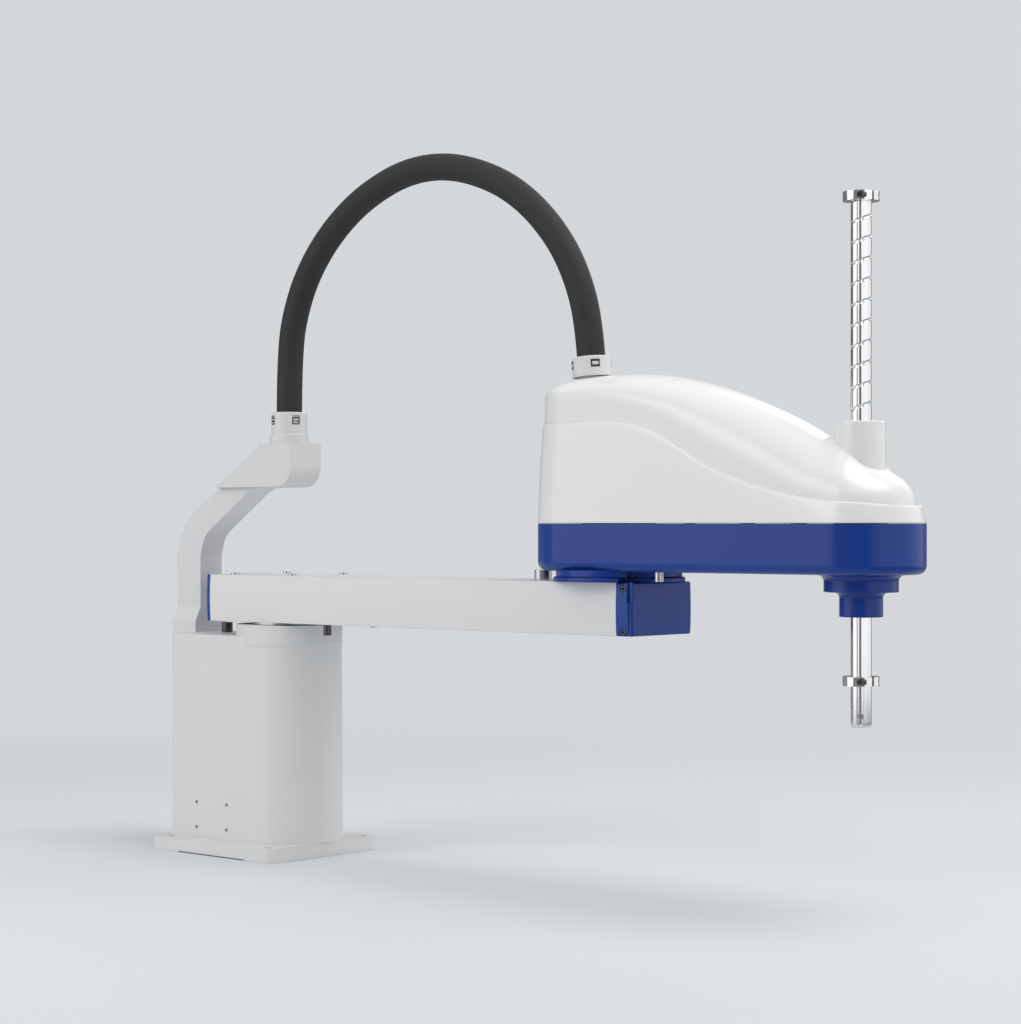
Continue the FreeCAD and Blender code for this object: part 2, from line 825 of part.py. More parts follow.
def gland(prefix, x, z, lean, rim, high, collar_tall, seat_depth, turn):
    """A hose gland in two pieces: a flanged body screwed into its wall and the snap collar that grips the hose.
    The collar's windows are turned about the gland's axis, in degrees."""
    body = Piece(f"{prefix}_gland")
    half = body.sketch("XZ_Plane")
    bore = s.hose_bore / 2
    thread = s.gland_thread_radius
    top = high + collar_tall - seat_depth - 1
    edge = high * 0.08
    foot = [(bore, -s.gland_stub), (thread, -s.gland_stub), (thread, 0), (rim, 0)]
    polygon(half, foot + [(rim, high - edge), (rim - edge, high), (thread, high), (thread, top), (bore, top)])
    body.turn(half)

    collar = Piece(f"{prefix}_gland_collar")
    half = collar.sketch("XZ_Plane")
    seat = high + collar_tall - seat_depth
    grip = s.hose_diameter / 2 + s.free_gap
    clear = thread + s.seat_gap
    side = s.gland_radius
    crown = high + collar_tall
    inner = [(clear, high), (side, high), (side, crown - 1), (side - 1, crown), (grip, crown), (grip, seat)]
    polygon(half, inner + [(bore, seat), (bore, seat - 1), (clear, seat - 1)])
    collar.turn(half)
    bars = collar.sketch("YZ_Plane", offset=side + 1)
    for drop in (6.5, 12):
        box_outline(bars, -4.5, 4.5, crown - drop, crown - drop + 2.5)
    windows = collar.pocket(bars, 3.8)
    collar.around([windows], 4)

    tilt = Rotation(Vector(0, 1, 0), -float(lean))
    for piece, angle in ((body, 0), (collar, turn)):
        piece.body.Placement = Placement(Vector(), tilt * Rotation(Vector(0, 0, 1), angle))
        at(piece.body, x, 0, z)
    return seat


def hose(seat_low, seat):
    """The corrugated hose's outer tube in two lengths that meet at the crown, one for each arm joint that it crosses."""
    lean = math.radians(float(s.cover_gland_lean))
    foot = Vector(float(elbow - s.cover_gland_back), 0, float(cover_gland_foot()))
    end = foot + Vector(-math.sin(lean), 0, math.cos(lean)) * float(seat + s.seat_gap)
    points = [Vector(x, 0, z) for x, z in HOSE_ROUTE] + [end]
    points[0].z = float(s.head_top + seat_low + s.seat_gap)
    edges = []
    start = points[0]
    radii = []
    crown = len(points) // 2
    halves = {}
    for i in range(1, len(points) - 1):
        before, corner, after = points[i - 1], points[i], points[i + 1]
        incoming = (corner - before).normalize()
        outgoing = (after - corner).normalize()
        half_turn = incoming.getAngle(outgoing) / 2
        setback = 0.45 * min((corner - before).Length, (after - corner).Length)
        radius = setback / math.tan(half_turn)
        radii.append(radius)
        first = corner - incoming * setback
        last = corner + outgoing * setback
        middle = corner + (outgoing - incoming).normalize() * radius * (1 / math.cos(half_turn) - 1)
        if i == crown:
            split = (points[i - 1] + corner) / 2
            edges.append(Part.LineSegment(start, split).toShape())
            halves["hose_lower"] = edges
            edges = []
            start = split
        edges.append(Part.LineSegment(start, first).toShape())
        edges.append(Part.Arc(first, middle, last).toShape())
        start = last
    edges.append(Part.LineSegment(start, points[-1]).toShape())
    halves["hose_upper"] = edges
    section = math.pi * float(s.hose_diameter) ** 2 / 4
    for label, path in halves.items():
        spine = Part.Wire(path)
        begin = path[0].Vertexes[0].Point
        ring_edge = Part.Circle(begin, path[0].tangentAt(path[0].FirstParameter), float(s.hose_diameter) / 2)
        tube = spine.makePipeShell([Part.Wire(ring_edge.toShape())], True, False)
        ratio = tube.Volume / (section * spine.Length)
        if abs(ratio - 1) > 0.002:
            raise RuntimeError(f"{label}: volume is {ratio:.4f} of section times length")
        print(f"{label}: length {spine.Length:.1f} mm")
        made = doc.addObject("Part::Feature", label)
        made.Shape = tube
        made.Placement = Placement()
        keep(made, label)
    print("hose radii:", " ".join(f"{radius:.0f}" for radius in radii))


def shoulder_drive():
    """The motor and the closed reduction gear in the column, the stop post, and the output flange under the arm."""
    reducer_top = s.ring_top
    reducer_low = reducer_top - s.reducer_tall
    piece = Piece("shoulder_reducer")
    half = piece.sketch("XZ_Plane")
    hub = s.hub_radius + s.running_gap
    floor = reducer_top - s.hub_depth - s.free_gap
    outer = s.reducer_radius
    case = [(0, reducer_low), (outer, reducer_low), (outer, reducer_top)]
    polygon(half, case + [(hub, reducer_top), (hub, floor), (0, floor)])
    piece.turn(half)

    long = s.shoulder_motor_long
    motor("shoulder_motor", 0, reducer_low - long, s.shoulder_motor_side, long, True)

    flange = Piece("shoulder_output_flange")
    half = flange.sketch("XZ_Plane")
    low = arm_low - s.flange_thick
    edge = s.flange_radius
    hub_low = reducer_top - s.hub_depth
    hub_side = [(0, hub_low), (s.hub_radius, hub_low), (s.hub_radius, low)]
    polygon(half, hub_side + [(edge, low), (edge, arm_low), (0, arm_low)])
    flange.turn(half)

    post = cylinder("shoulder_stop_post", s.shoulder_post / 2, s.column_top, s.shoulder_post_tall, -s.shoulder_stop_radius)
    keep(post, "shoulder_stop_post")

    pins = []
    angle = math.radians(float(s.shoulder_pin_angle))
    for sign, long in ((-1, s.shoulder_pin_long), (1, s.shoulder_pin_short)):
        x = s.shoulder_stop_radius * math.cos(angle)
        y = s.shoulder_stop_radius * (sign * math.sin(angle))
        pins.append(cylinder(f"shoulder_pin_{sign + 1}", s.shoulder_pin / 2, arm_low - long, long, x, y))
    group("shoulder_stop_pins", pins)


def arm_profile(sketch, inset=0):
    """The inner arm's cross section on the YZ plane: flat top and bottom, and sides that bulge a little."""
    rise = s.arm_tall - 2 * inset
    bulge = s.arm_bulge
    radius = rise * rise / (8 * bulge) + bulge / 2
    side = s.arm_half - inset
    corner = side - bulge
    low = arm_low + inset
    high = arm_top - inset
    spread = math.degrees(math.asin(float(rise) / 2 / float(radius)))
    right = arc(sketch, side - radius, arm_middle, radius, -spread, spread)
    left = arc(sketch, -side + radius, arm_middle, radius, 180 - spread, 180 + spread)
    roof = line(sketch, (corner, high), (-corner, high))
    floor = line(sketch, (-corner, low), (corner, low))
    corners = ((right, 2, roof, 1), (roof, 2, left, 1), (left, 2, floor, 1), (floor, 2, right, 1))
    for first, first_end, second, second_end in corners:
        sketch.addConstraint(Sketcher.Constraint("Coincident", first, first_end, second, second_end))
    for edge, height in ((roof, high), (floor, low)):
        sketch.addConstraint(Sketcher.Constraint("Horizontal", edge))
        row = sketch.addConstraint(Sketcher.Constraint("DistanceY", -1, 1, edge, 1, float(height)))
        sketch.setExpression(f"Constraints[{row}]", height.formula)
    return sketch


def screw_grid(x, y):
    return [(sx * x, sy * y) for sx in (-1, 1) for sy in (-1, 1)]


def side_screw_places():
    """Front cap screws: (x, z) on each side of the cap."""
    x = elbow + s.arm_nose + 9
    return [(x, arm_low + 4.3), (x, arm_top - 6.2)]


def inner_arm():
    """The hollow extruded beam with its two end blocks, caps and screws."""
    tail = -s.arm_tail
    nose = elbow + s.arm_nose
    beam = Piece("inner_arm_beam")
    beam.pad(arm_profile(beam.sketch("YZ_Plane", offset=tail)), nose - tail)
    hollow = beam.sketch("YZ_Plane", offset=tail)
    inner = s.arm_half - s.arm_wall
    floor = arm_low + s.arm_wall
    roof = arm_top - s.arm_wall
    box_outline(hollow, -inner, inner, floor, roof)
    beam.pocket(hollow, nose - tail, ahead=True)
    under = beam.sketch(offset=arm_low)
    circle(under, 0, 0, s.hub_radius + s.seat_gap)
    beam.pocket(under, s.arm_wall, ahead=True)
    deck = beam.sketch(offset=arm_top)
    circle(deck, elbow, 0, s.hub_radius + s.seat_gap)
    for x, y in screw_grid(s.screw_x, s.screw_y):
        circle(deck, x, y, s.screw_shank / 2)
    beam.pocket(deck, s.arm_wall)

    slip = s.seat_gap
    for label, x, spigot_low in (("shoulder_block", 0, arm_low), ("elbow_block", elbow, floor)):
        piece = Piece(label)
        reach = s.block_half if x == 0 else s.arm_nose - 2
        outline = piece.sketch(offset=floor, x=x)
        box_outline(outline, -s.block_half, reach, -inner + slip, inner - slip)
        piece.pad(outline, roof - floor)
        spigot = circle(piece.sketch(offset=arm_low if x == 0 else roof, x=x), 0, 0, s.hub_radius)
        piece.pad(spigot, s.arm_wall)
        if x == 0:
            holes = piece.sketch(offset=roof)
            for sx, sy in screw_grid(s.screw_x, s.screw_y):
                circle(holes, sx, sy, s.screw_shank / 2)
            piece.pocket(holes, 14)
    seats = screw_grid(s.screw_x, s.screw_y)
    grip = s.arm_wall + 12
    heads = [screw(f"shoulder_screw_{i}", x, y, arm_top, (0, 0, 1), grip) for i, (x, y) in enumerate(seats)]
    group("shoulder_screws", heads)

    rear = Piece("inner_arm_rear_cap")
    rear.pad(arm_profile(rear.sketch("YZ_Plane", offset=tail)), s.tail_cap, back=True)
    plug = rear.sketch("YZ_Plane", offset=tail)
    box_outline(plug, -inner + slip, inner - slip, floor + slip, roof - slip)
    rear.pad(plug, 8)
    holes = rear.sketch("YZ_Plane", offset=tail - s.tail_cap)
    rear_seats = [(y, z) for y in (-inner + 8, inner - 8) for z in (floor + 7, roof - 7)]
    for y, z in rear_seats:
        circle(holes, y, z, s.screw_shank / 2)
    rear.pocket(holes, s.tail_cap + 6, ahead=True)
    back = tail - s.tail_cap
    grip = s.tail_cap + 5
    heads = [screw(f"rear_cap_screw_{i}", back, y, z, (-1, 0, 0), grip) for i, (y, z) in enumerate(rear_seats)]
    group("rear_cap_screws", heads)

    front = Piece("inner_arm_front_cap")
    front.pad(arm_profile(front.sketch("YZ_Plane", offset=nose)), s.front_cap)
    tip = nose + s.front_cap

    def front_corner(edge):
        box = edge.BoundBox
        return box.XMin > float(tip) - 0.01 and box.ZLength > 40

    front.fillet(s.cap_corner, front_corner)

    def front_rim(edge):
        box = edge.BoundBox
        return box.XMax > float(tip) - 0.01 and box.ZLength < 1 and box.YLength > 40

    front.fillet(2.0, front_rim)
    cavity = front.sketch("YZ_Plane", offset=nose)
    thin = s.arm_wall
    box_outline(cavity, -s.arm_half + thin, s.arm_half - thin, arm_low + thin, arm_top - thin)
    front.pocket(cavity, s.front_cap - s.front_cap_wall, ahead=True)
    for sign in (-1, 1):
        groove = front.sketch("XZ_Plane", offset=-sign * (s.arm_half + 1))
        x = nose + s.front_cap - s.cap_groove - 2
        box_outline(groove, x, x + s.cap_groove, arm_low - 1, arm_top + 1)
        notch_left = x - (s.cap_notch_long - s.cap_groove) / 2
        front.pocket(groove, s.cap_groove_deep + 1, ahead=sign > 0)
        notch = front.sketch("XZ_Plane", offset=-sign * (s.arm_half + 1))
        box_outline(notch, notch_left, notch_left + s.cap_notch_long, arm_top - s.cap_notch_tall, arm_top + 1)
        front.pocket(notch, 4, ahead=sign > 0)
        holes = front.sketch("XZ_Plane", offset=-sign * (s.arm_half + 1))
        for x, z in side_screw_places():
            circle(holes, x, z, s.screw_shank / 2)
        front.pocket(holes, s.arm_wall + 2, ahead=sign > 0)
        recess = front.sketch("XZ_Plane", offset=-sign * (s.arm_half + 1))
        for x, z in side_screw_places():
            circle(recess, x, z, s.side_screw_head / 2 + 0.5)
        front.pocket(recess, s.side_screw_sunk + 1, ahead=sign > 0)
    side_screws = []
    seat = s.arm_half - s.side_screw_sunk
    grip = s.arm_wall + 0.5 - s.side_screw_sunk
    for sign in (-1, 1):
        for i, (x, z) in enumerate(side_screw_places()):
            label = f"cap_screw_{sign + 1}_{i}"
            head = s.side_screw_head / 2
            side_screws.append(screw(label, x, sign * seat, z, (0, sign, 0), grip, head))
    group("front_cap_screws", side_screws)


def elbow_drive():
    """The ring plate and hub fixed on the inner arm, the reduction gear and motor in the outer arm, and the stops."""
    plate = Piece("elbow_ring_plate")
    half = plate.sketch("XZ_Plane", x=elbow)
    bore = s.hub_radius + s.seat_gap
    rim = s.ring_plate_radius
    top = arm_top + s.ring_plate_thick
    polygon(half, [(bore, arm_top), (rim, arm_top), (rim, top - 1), (rim - 1, top), (bore, top)])
    plate.turn(half)
    notch = plate.sketch(offset=arm_top, x=elbow)
    polygon(notch, [(38, -36), (62, -24), (74, -48), (46, -70)])
    plate.pocket(notch, s.ring_plate_thick + 1, ahead=True)

    hub = cylinder("elbow_hub", s.hub_radius, arm_top, s.elbow_gap + s.tray_floor + 14, elbow)
    keep(hub, "elbow_hub")

    reducer = Piece("elbow_reducer")
    half = reducer.sketch("XZ_Plane", x=elbow)
    low = tray_low - s.boss_tall + 1
    gear_top = low + s.elbow_reducer_tall
    inner = s.hub_radius + s.running_gap
    outer = s.elbow_reducer_radius
    lid = arm_top + s.elbow_gap + s.tray_floor + 14 + s.free_gap
    deck_rim = outer + 6
    outline = [(inner, low), (outer, low), (outer, tray_deck), (deck_rim, tray_deck), (deck_rim, tray_deck + 6)]
    polygon(half, outline + [(outer, tray_deck + 6), (outer, gear_top), (0, gear_top), (0, lid), (inner, lid)])
    reducer.turn(half)

    motor("elbow_motor", elbow, gear_top, s.elbow_motor_side, s.elbow_motor_long, False)

    post = cylinder("elbow_stop_post", s.elbow_post / 2, arm_top, s.elbow_post_tall, elbow - s.elbow_stop_radius)
    keep(post, "elbow_stop_post")
    pins = []
    angle = math.radians(float(s.elbow_pin_angle))
    for sign, long in ((-1, s.elbow_pin_long), (1, s.elbow_pin_short)):
        x = elbow + s.elbow_stop_radius * math.cos(angle)
        y = s.elbow_stop_radius * (sign * math.sin(angle))
        pins.append(cylinder(f"elbow_pin_{sign + 1}", s.elbow_pin / 2, tray_low - long, long, x, y))
    group("elbow_stop_pins", pins)


def outer_arm_tray():
    """The cast lower half of the outer arm, open at the top, with the elbow boss under its tail."""
    piece = Piece("outer_arm_tray")
    piece.pad(slot(piece.sketch(offset=tray_low), tray_rear, quill, s.tray_half), s.tray_tall)
    piece.fillet(s.tray_edge, lambda edge: level(edge, tray_low))
    piece.pad(circle(piece.sketch(offset=tray_low + 1), elbow, 0, s.boss_radius), s.boss_tall + 1, back=True)
    hollow = slot(piece.sketch(offset=tray_top), tray_rear, quill, s.tray_half - s.tray_wall)
    piece.pocket(hollow, s.tray_tall - s.tray_floor)
    bores = piece.sketch(offset=tray_deck)
    circle(bores, elbow, 0, s.elbow_reducer_radius + s.seat_gap)
    circle(bores, quill, 0, s.spigot_radius + s.seat_gap)
    piece.pocket(bores, s.tray_floor + s.boss_tall + 1)
    relief = piece.sketch(offset=tray_low, x=elbow)
    polygon(relief, [(44, -36), (60, -27), (72, -46), (52, -62)])
    piece.pocket(relief, s.boss_tall + 1)


# Heights above the tray's rim and shape of the cover along the arm: distance ahead of the elbow, height of the step
# on its side, half width at that step, height of its ridge, fall from ridge to shoulder, and how square its
# shoulders are.
def cover_stations():
    peak = float(s.cover_peak)
    half = float(s.tray_half)
    reach = float(s.outer_reach)
    tail = -float(s.tray_back)
    return [
        (tail, 104.4, half - 5.5, peak - 2.0, 9.2, 7.0),
        (0.15 * reach, 104.2, half - 5.5, peak - 0.6, 12.0, 5.2),
        (0.33 * reach, 89.5, half - 4.8, peak - 8.7, 11.0, 4.2),
        (0.5 * reach, 61.5, half - 3.8, peak - 23.1, 10.0, 3.5),
        (0.67 * reach, 41.3, half - 3.4, peak - 42.2, 9.0, 3.0),
        (0.83 * reach, 28.8, half - 4.0, peak - 64.8, 7.0, 2.5),
        (0.93 * reach, 22.5, half - 5.5, peak - 84.3, 4.0, 2.2),
        (reach, 18.0, half - 7.0, peak - 99.6, 0.0, 2.0),
    ]


def lower_section(x, step, half, inset, base):
    """Half of the cover's lower panel at one station: a flat-topped wedge from the middle plane out to the wall."""
    foot = float(s.tray_half) - inset
    head = half - inset
    z = float(tray_top) + step
    corners = [Vector(x, 0, base), Vector(x, foot, base), Vector(x, head, z), Vector(x, 0, z)]
    return Part.makePolygon(corners + corners[:1])


def hood_section(x, step, half, ridge, crown, square, inset, steps=14):
    """Half of the hood at one station: up from below the step and over to the ridge. In the plane of the section a
    point at angle a lies on |y/w|^n + |z/h|^n = 1, where h falls by the crown towards the shoulder."""
    proud = 1.5
    width = half - proud - inset
    low = float(tray_top) + step
    tall = ridge - step - inset
    arch = []
    for i in range(steps + 1):
        angle = math.pi / 2 * i / steps
        out = (math.cos(angle) ** square + math.sin(angle) ** square) ** (-1 / square)
        across = out * math.cos(angle)
        rise = (tall - crown * across ** 2) * out * math.sin(angle)
        arch.append(Vector(x, width * across, low + rise))
    arch[-1].y = 0
    curve = Part.BSplineCurve()
    curve.interpolate(arch)
    sunk = low - 8
    root = [Vector(x, 0, sunk), Vector(x, width, sunk), arch[0]]
    edges = [Part.LineSegment(root[0], root[1]).toShape(), Part.LineSegment(root[1], root[2]).toShape()]
    edges += [curve.toShape(), Part.LineSegment(arch[-1], root[0]).toShape()]
    return Part.Wire(edges)


def cover_solid(inset, base):
    """The cover's outside, or with an inset its cavity: lofts along the arm, closed by half turns at both ends."""
    stations = [(float(elbow) + ahead, *rest) for ahead, *rest in cover_stations()]
    lower = [lower_section(x, step, half, inset, base) for x, step, half, *_ in stations]
    hood = [hood_section(*station, inset) for station in stations]
    solids = []
    for sections, ruled in ((lower, False), (hood, False)):
        side = Part.makeLoft(sections, True, ruled)
        solids += [side, side.mirror(Vector(), Vector(0, 1, 0))]
        tail_x = stations[0][0]
        nose_x = stations[-1][0]
        tail_face = Part.Face(sections[0])
        nose_face = Part.Face(sections[-1])
        solids.append(tail_face.revolve(Vector(tail_x, 0, 0), Vector(0, 0, 1), 180))
        solids.append(nose_face.revolve(Vector(nose_x, 0, 0), Vector(0, 0, 1), -180))
    whole = solids[0].multiFuse(solids[1:])
    return whole.removeSplitter()


def outer_arm_cover():
    """The moulded cover: a shell with a stepped side panel, a hood that falls to the nose, and the shaft's chimney."""
    base = float(tray_top)
    outside = cover_solid(0, base)
    wall = float(s.cover_wall)
    chimney_root = base + 20
    chimney_tall = float(s.chimney_height) - 20
    axis = Vector(float(quill), 0, chimney_root)
    chimney = Part.makeCone(float(s.chimney_radius), float(s.chimney_top_radius), chimney_tall, axis)
    outside = outside.fuse(chimney)
    cavity = cover_solid(wall, base - 1)
    duct_radius = float(s.chimney_top_radius) - wall
    top = chimney_root + chimney_tall
    well = Part.makeCylinder(duct_radius, chimney_tall - 6, axis)
    mouth = Part.makeCylinder(float(s.shaft_diameter) / 2 + 2, 20, Vector(float(quill), 0, top - 10))
    shell = outside.cut(cavity).cut(well).cut(mouth)
    lean = Rotation(Vector(0, 1, 0), -float(s.cover_gland_lean))
    foot = Vector(float(elbow - s.cover_gland_back), 0, float(cover_gland_foot()))
    seat = Part.makeCylinder(float(s.gland_thread_radius + s.seat_gap), 60, Vector(0, 0, -40))
    pad = Part.makeCylinder(float(s.cover_gland_rim) + 0.6, 40, Vector())
    for tool in (seat, pad):
        tool.Placement = Placement(foot, lean)
        shell = shell.cut(tool)
    made = doc.addObject("Part::Feature", "outer_arm_cover")
    made.Shape = shell.removeSplitter()
    made.Placement = Placement()
    keep(made, "outer_arm_cover")


def cover_gland_foot():
    """The height of the flat that the cover's gland stands on."""
    return tray_top + s.cover_peak - 0.5


def quill_housing():
    """The turned bearing housing under the nose, its bearing, and the nut that turns with the shaft's splines."""
    low = tray_low - s.big_flange_tall - s.small_flange_tall
    step = tray_low - s.big_flange_tall
    seat = step + 5
    top = seat + s.bearing_tall
    piece = Piece("quill_housing")
    half = piece.sketch("XZ_Plane", x=quill)
    bore = s.quill_radius + s.free_gap
    inner = s.bearing_radius + s.seat_gap
    small, big, spigot = s.small_flange_radius, s.big_flange_radius, s.spigot_radius
    lip = tray_low - s.flange_lip
    rim = big + s.flange_cove + 0.5
    outside = [(bore, low), (small, low), (small, step), (big, step), (big, lip), (rim, lip), (rim, tray_low)]
    polygon(half, outside + [(spigot, tray_low), (spigot, top), (inner, top), (inner, seat), (bore, seat)])
    piece.turn(half)

    def neck(edge):
        box = edge.BoundBox
        return level(edge, step) and abs(box.XLength - 2 * float(small)) < 0.1

    piece.fillet(s.flange_cove, neck)

    def round_edge(height, radius):
        return lambda edge: level(edge, height) and abs(edge.BoundBox.XLength - 2 * float(radius)) < 0.1

    piece.fillet(s.flange_cove, round_edge(lip, big))
    piece.fillet(0.8, round_edge(low, small))
    piece.fillet(0.8, round_edge(step, big))

    race = s.quill_radius + s.running_gap
    keep(ring("spline_bearing", s.bearing_radius, race, seat, s.bearing_tall, quill), "spline_bearing")
    return low


def spline_nut(low):
    """The nut that carries the shaft round: three keys in its bore run in the shaft's grooves."""
    pulley_low = tray_deck + s.roll_belt_up - s.pulley_tall / 2
    piece = Piece("spline_nut")
    half = piece.sketch("XZ_Plane")
    bore = s.shaft_diameter / 2 + s.running_gap
    neck = s.quill_radius - 2
    top = pulley_low + s.pulley_tall + 1
    bottom = low + 0.5
    wide = s.quill_radius
    outside = [(bore, bottom), (wide, bottom), (wide, pulley_low)]
    polygon(half, outside + [(neck, pulley_low), (neck, top), (bore, top)])
    piece.turn(half)
    key = piece.sketch(offset=bottom)
    side = s.spline_width / 2 - s.free_gap
    tip = s.shaft_diameter / 2 - s.spline_depth + s.free_gap
    box_outline(key, tip, bore + 1, -side, side)
    made = piece.pad(key, top - bottom)
    piece.around([made], 3)
    piece.body.Placement = Placement(Vector(), Rotation(Vector(0, 0, 1), SHAFT_TURN))
    at(piece.body, quill)
    pulley("roll_pulley", quill, pulley_low, s.pulley_radius, neck + s.seat_gap)


def pulley(label, x, low, radius, bore):
    """A belt pulley with a rim at each side."""
    piece = Piece(label)
    half = piece.sketch("XZ_Plane", x=x)
    rim = radius + s.flange_rim
    edge = 1.2
    top = low + s.pulley_tall
    lower_rim = [(bore, low), (rim, low), (rim, low + edge), (radius, low + edge)]
    polygon(half, lower_rim + [(radius, top - edge), (rim, top - edge), (rim, top), (bore, top)])
    piece.turn(half)


def motor_pulley(label, x, low, plate_top):
    """A motor's pulley in one piece with its shaft, which turns in the motor's front bearing."""
    piece = Piece(label)
    half = piece.sketch("XZ_Plane", x=x)
    radius = s.motor_pulley_radius
    rim = radius + s.flange_rim
    edge = 1.2
    top = low + s.pulley_tall
    shaft = s.motor_shaft_radius
    end = plate_top + s.motor_shaft_grip
    lower_rim = [(0, low), (rim, low), (rim, low + edge), (radius, low + edge)]
    upper_rim = [(radius, top - edge), (rim, top - edge), (rim, top), (shaft, top)]
    polygon(half, lower_rim + upper_rim + [(shaft, end), (0, end)])
    piece.turn(half)


def belt(label, x, middle):
    """A closed belt round a motor pulley and its nut pulley."""
    piece = Piece(label)
    loop = piece.sketch(offset=middle - s.belt_width / 2)
    for offset in (s.free_gap, s.free_gap + s.belt_thick):
        slot(loop, x, quill, s.pulley_radius + offset, s.motor_pulley_radius + offset)
    piece.pad(loop, s.belt_width)


def belt_drives():
    """The lift nut and its bearing bridge, both belts and pulleys, and the two motors on their plate."""
    lift_low = tray_deck + s.lift_belt_up - s.pulley_tall / 2
    plate_low = tray_deck + s.plate_up
    plate_high = plate_low + s.plate_sheet
    roll_x = elbow + s.roll_motor_ahead
    lift_x = elbow + s.lift_motor_ahead

    nut = Piece("lift_nut")
    half = nut.sketch("XZ_Plane", x=quill)
    bore = s.shaft_diameter / 2 + s.free_gap
    neck = s.quill_radius - 2
    wide = s.quill_radius
    shoulder = lift_low + s.pulley_tall
    top = plate_low + s.bridge_thick + 12
    outside = [(bore, lift_low - 1), (neck, lift_low - 1), (neck, shoulder)]
    polygon(half, outside + [(wide, shoulder), (wide, top), (bore, top)])
    nut.turn(half)
    pulley("lift_pulley", quill, lift_low, s.pulley_radius, neck + s.seat_gap)
    race = s.quill_radius + s.running_gap
    keep(ring("lift_bearing", s.bearing_radius, race, plate_low, s.bridge_thick, quill), "lift_bearing")

    bridge = Piece("bearing_bridge")
    bridge.pad(circle(bridge.sketch(offset=plate_low), quill, 0, s.bridge_radius), s.bridge_thick)
    tail = quill - 58
    tongue = bridge.sketch(offset=plate_low)
    box_outline(tongue, tail, quill, -s.bridge_radius, s.bridge_radius)
    bridge.pad(tongue, s.bridge_thick)
    bridge.fillet(6.0, lambda edge: upright(edge) and edge.BoundBox.XMax < float(tail) + 0.1)
    post_y = s.bridge_radius - s.post_radius
    posts = bridge.sketch(offset=tray_deck)
    for x in (quill, tail + s.post_radius + 2):
        for y in (-post_y, post_y):
            circle(posts, x, y, s.post_radius)
    bridge.pad(posts, plate_low - tray_deck)
    bore_at = circle(bridge.sketch(offset=plate_low), quill, 0, s.bearing_radius + s.seat_gap)
    bridge.pocket(bore_at, s.bridge_thick, ahead=True)

    plate = Piece("motor_plate")
    left = lift_x - s.lift_motor_side / 2 - 14
    right = roll_x + s.roll_motor_side / 2 + 14
    half_wide = s.tray_half - s.tray_wall - 3
    plate.pad(box_outline(plate.sketch(offset=plate_low), left, right, -half_wide, half_wide), s.plate_sheet)
    plate.fillet(5.0, upright)
    legs = plate.sketch(offset=tray_deck)
    for x in (left + s.post_radius + 1, right - s.post_radius - 1):
        for y in (-half_wide + s.post_radius + 1, half_wide - s.post_radius - 1):
            circle(legs, x, y, s.post_radius)
    plate.pad(legs, plate_low - tray_deck)
    holes = plate.sketch(offset=plate_low)
    for x in (roll_x, lift_x):
        circle(holes, x, 0, s.motor_shaft_radius + 3)
    plate.pocket(holes, s.plate_sheet, ahead=True)

    drives = [("roll", roll_x, s.roll_belt_up, s.roll_motor_side, s.roll_motor_long)]
    drives.append(("lift", lift_x, s.lift_belt_up, s.lift_motor_side, s.lift_motor_long))
    for name, x, up, side, long in drives:
        motor(f"{name}_motor", x, plate_high, side, long, False, shaft_bore=True)
        motor_pulley(f"{name}_motor_pulley", x, tray_deck + up - s.pulley_tall / 2, plate_high)
        belt(f"{name}_belt", x, tray_deck + up)


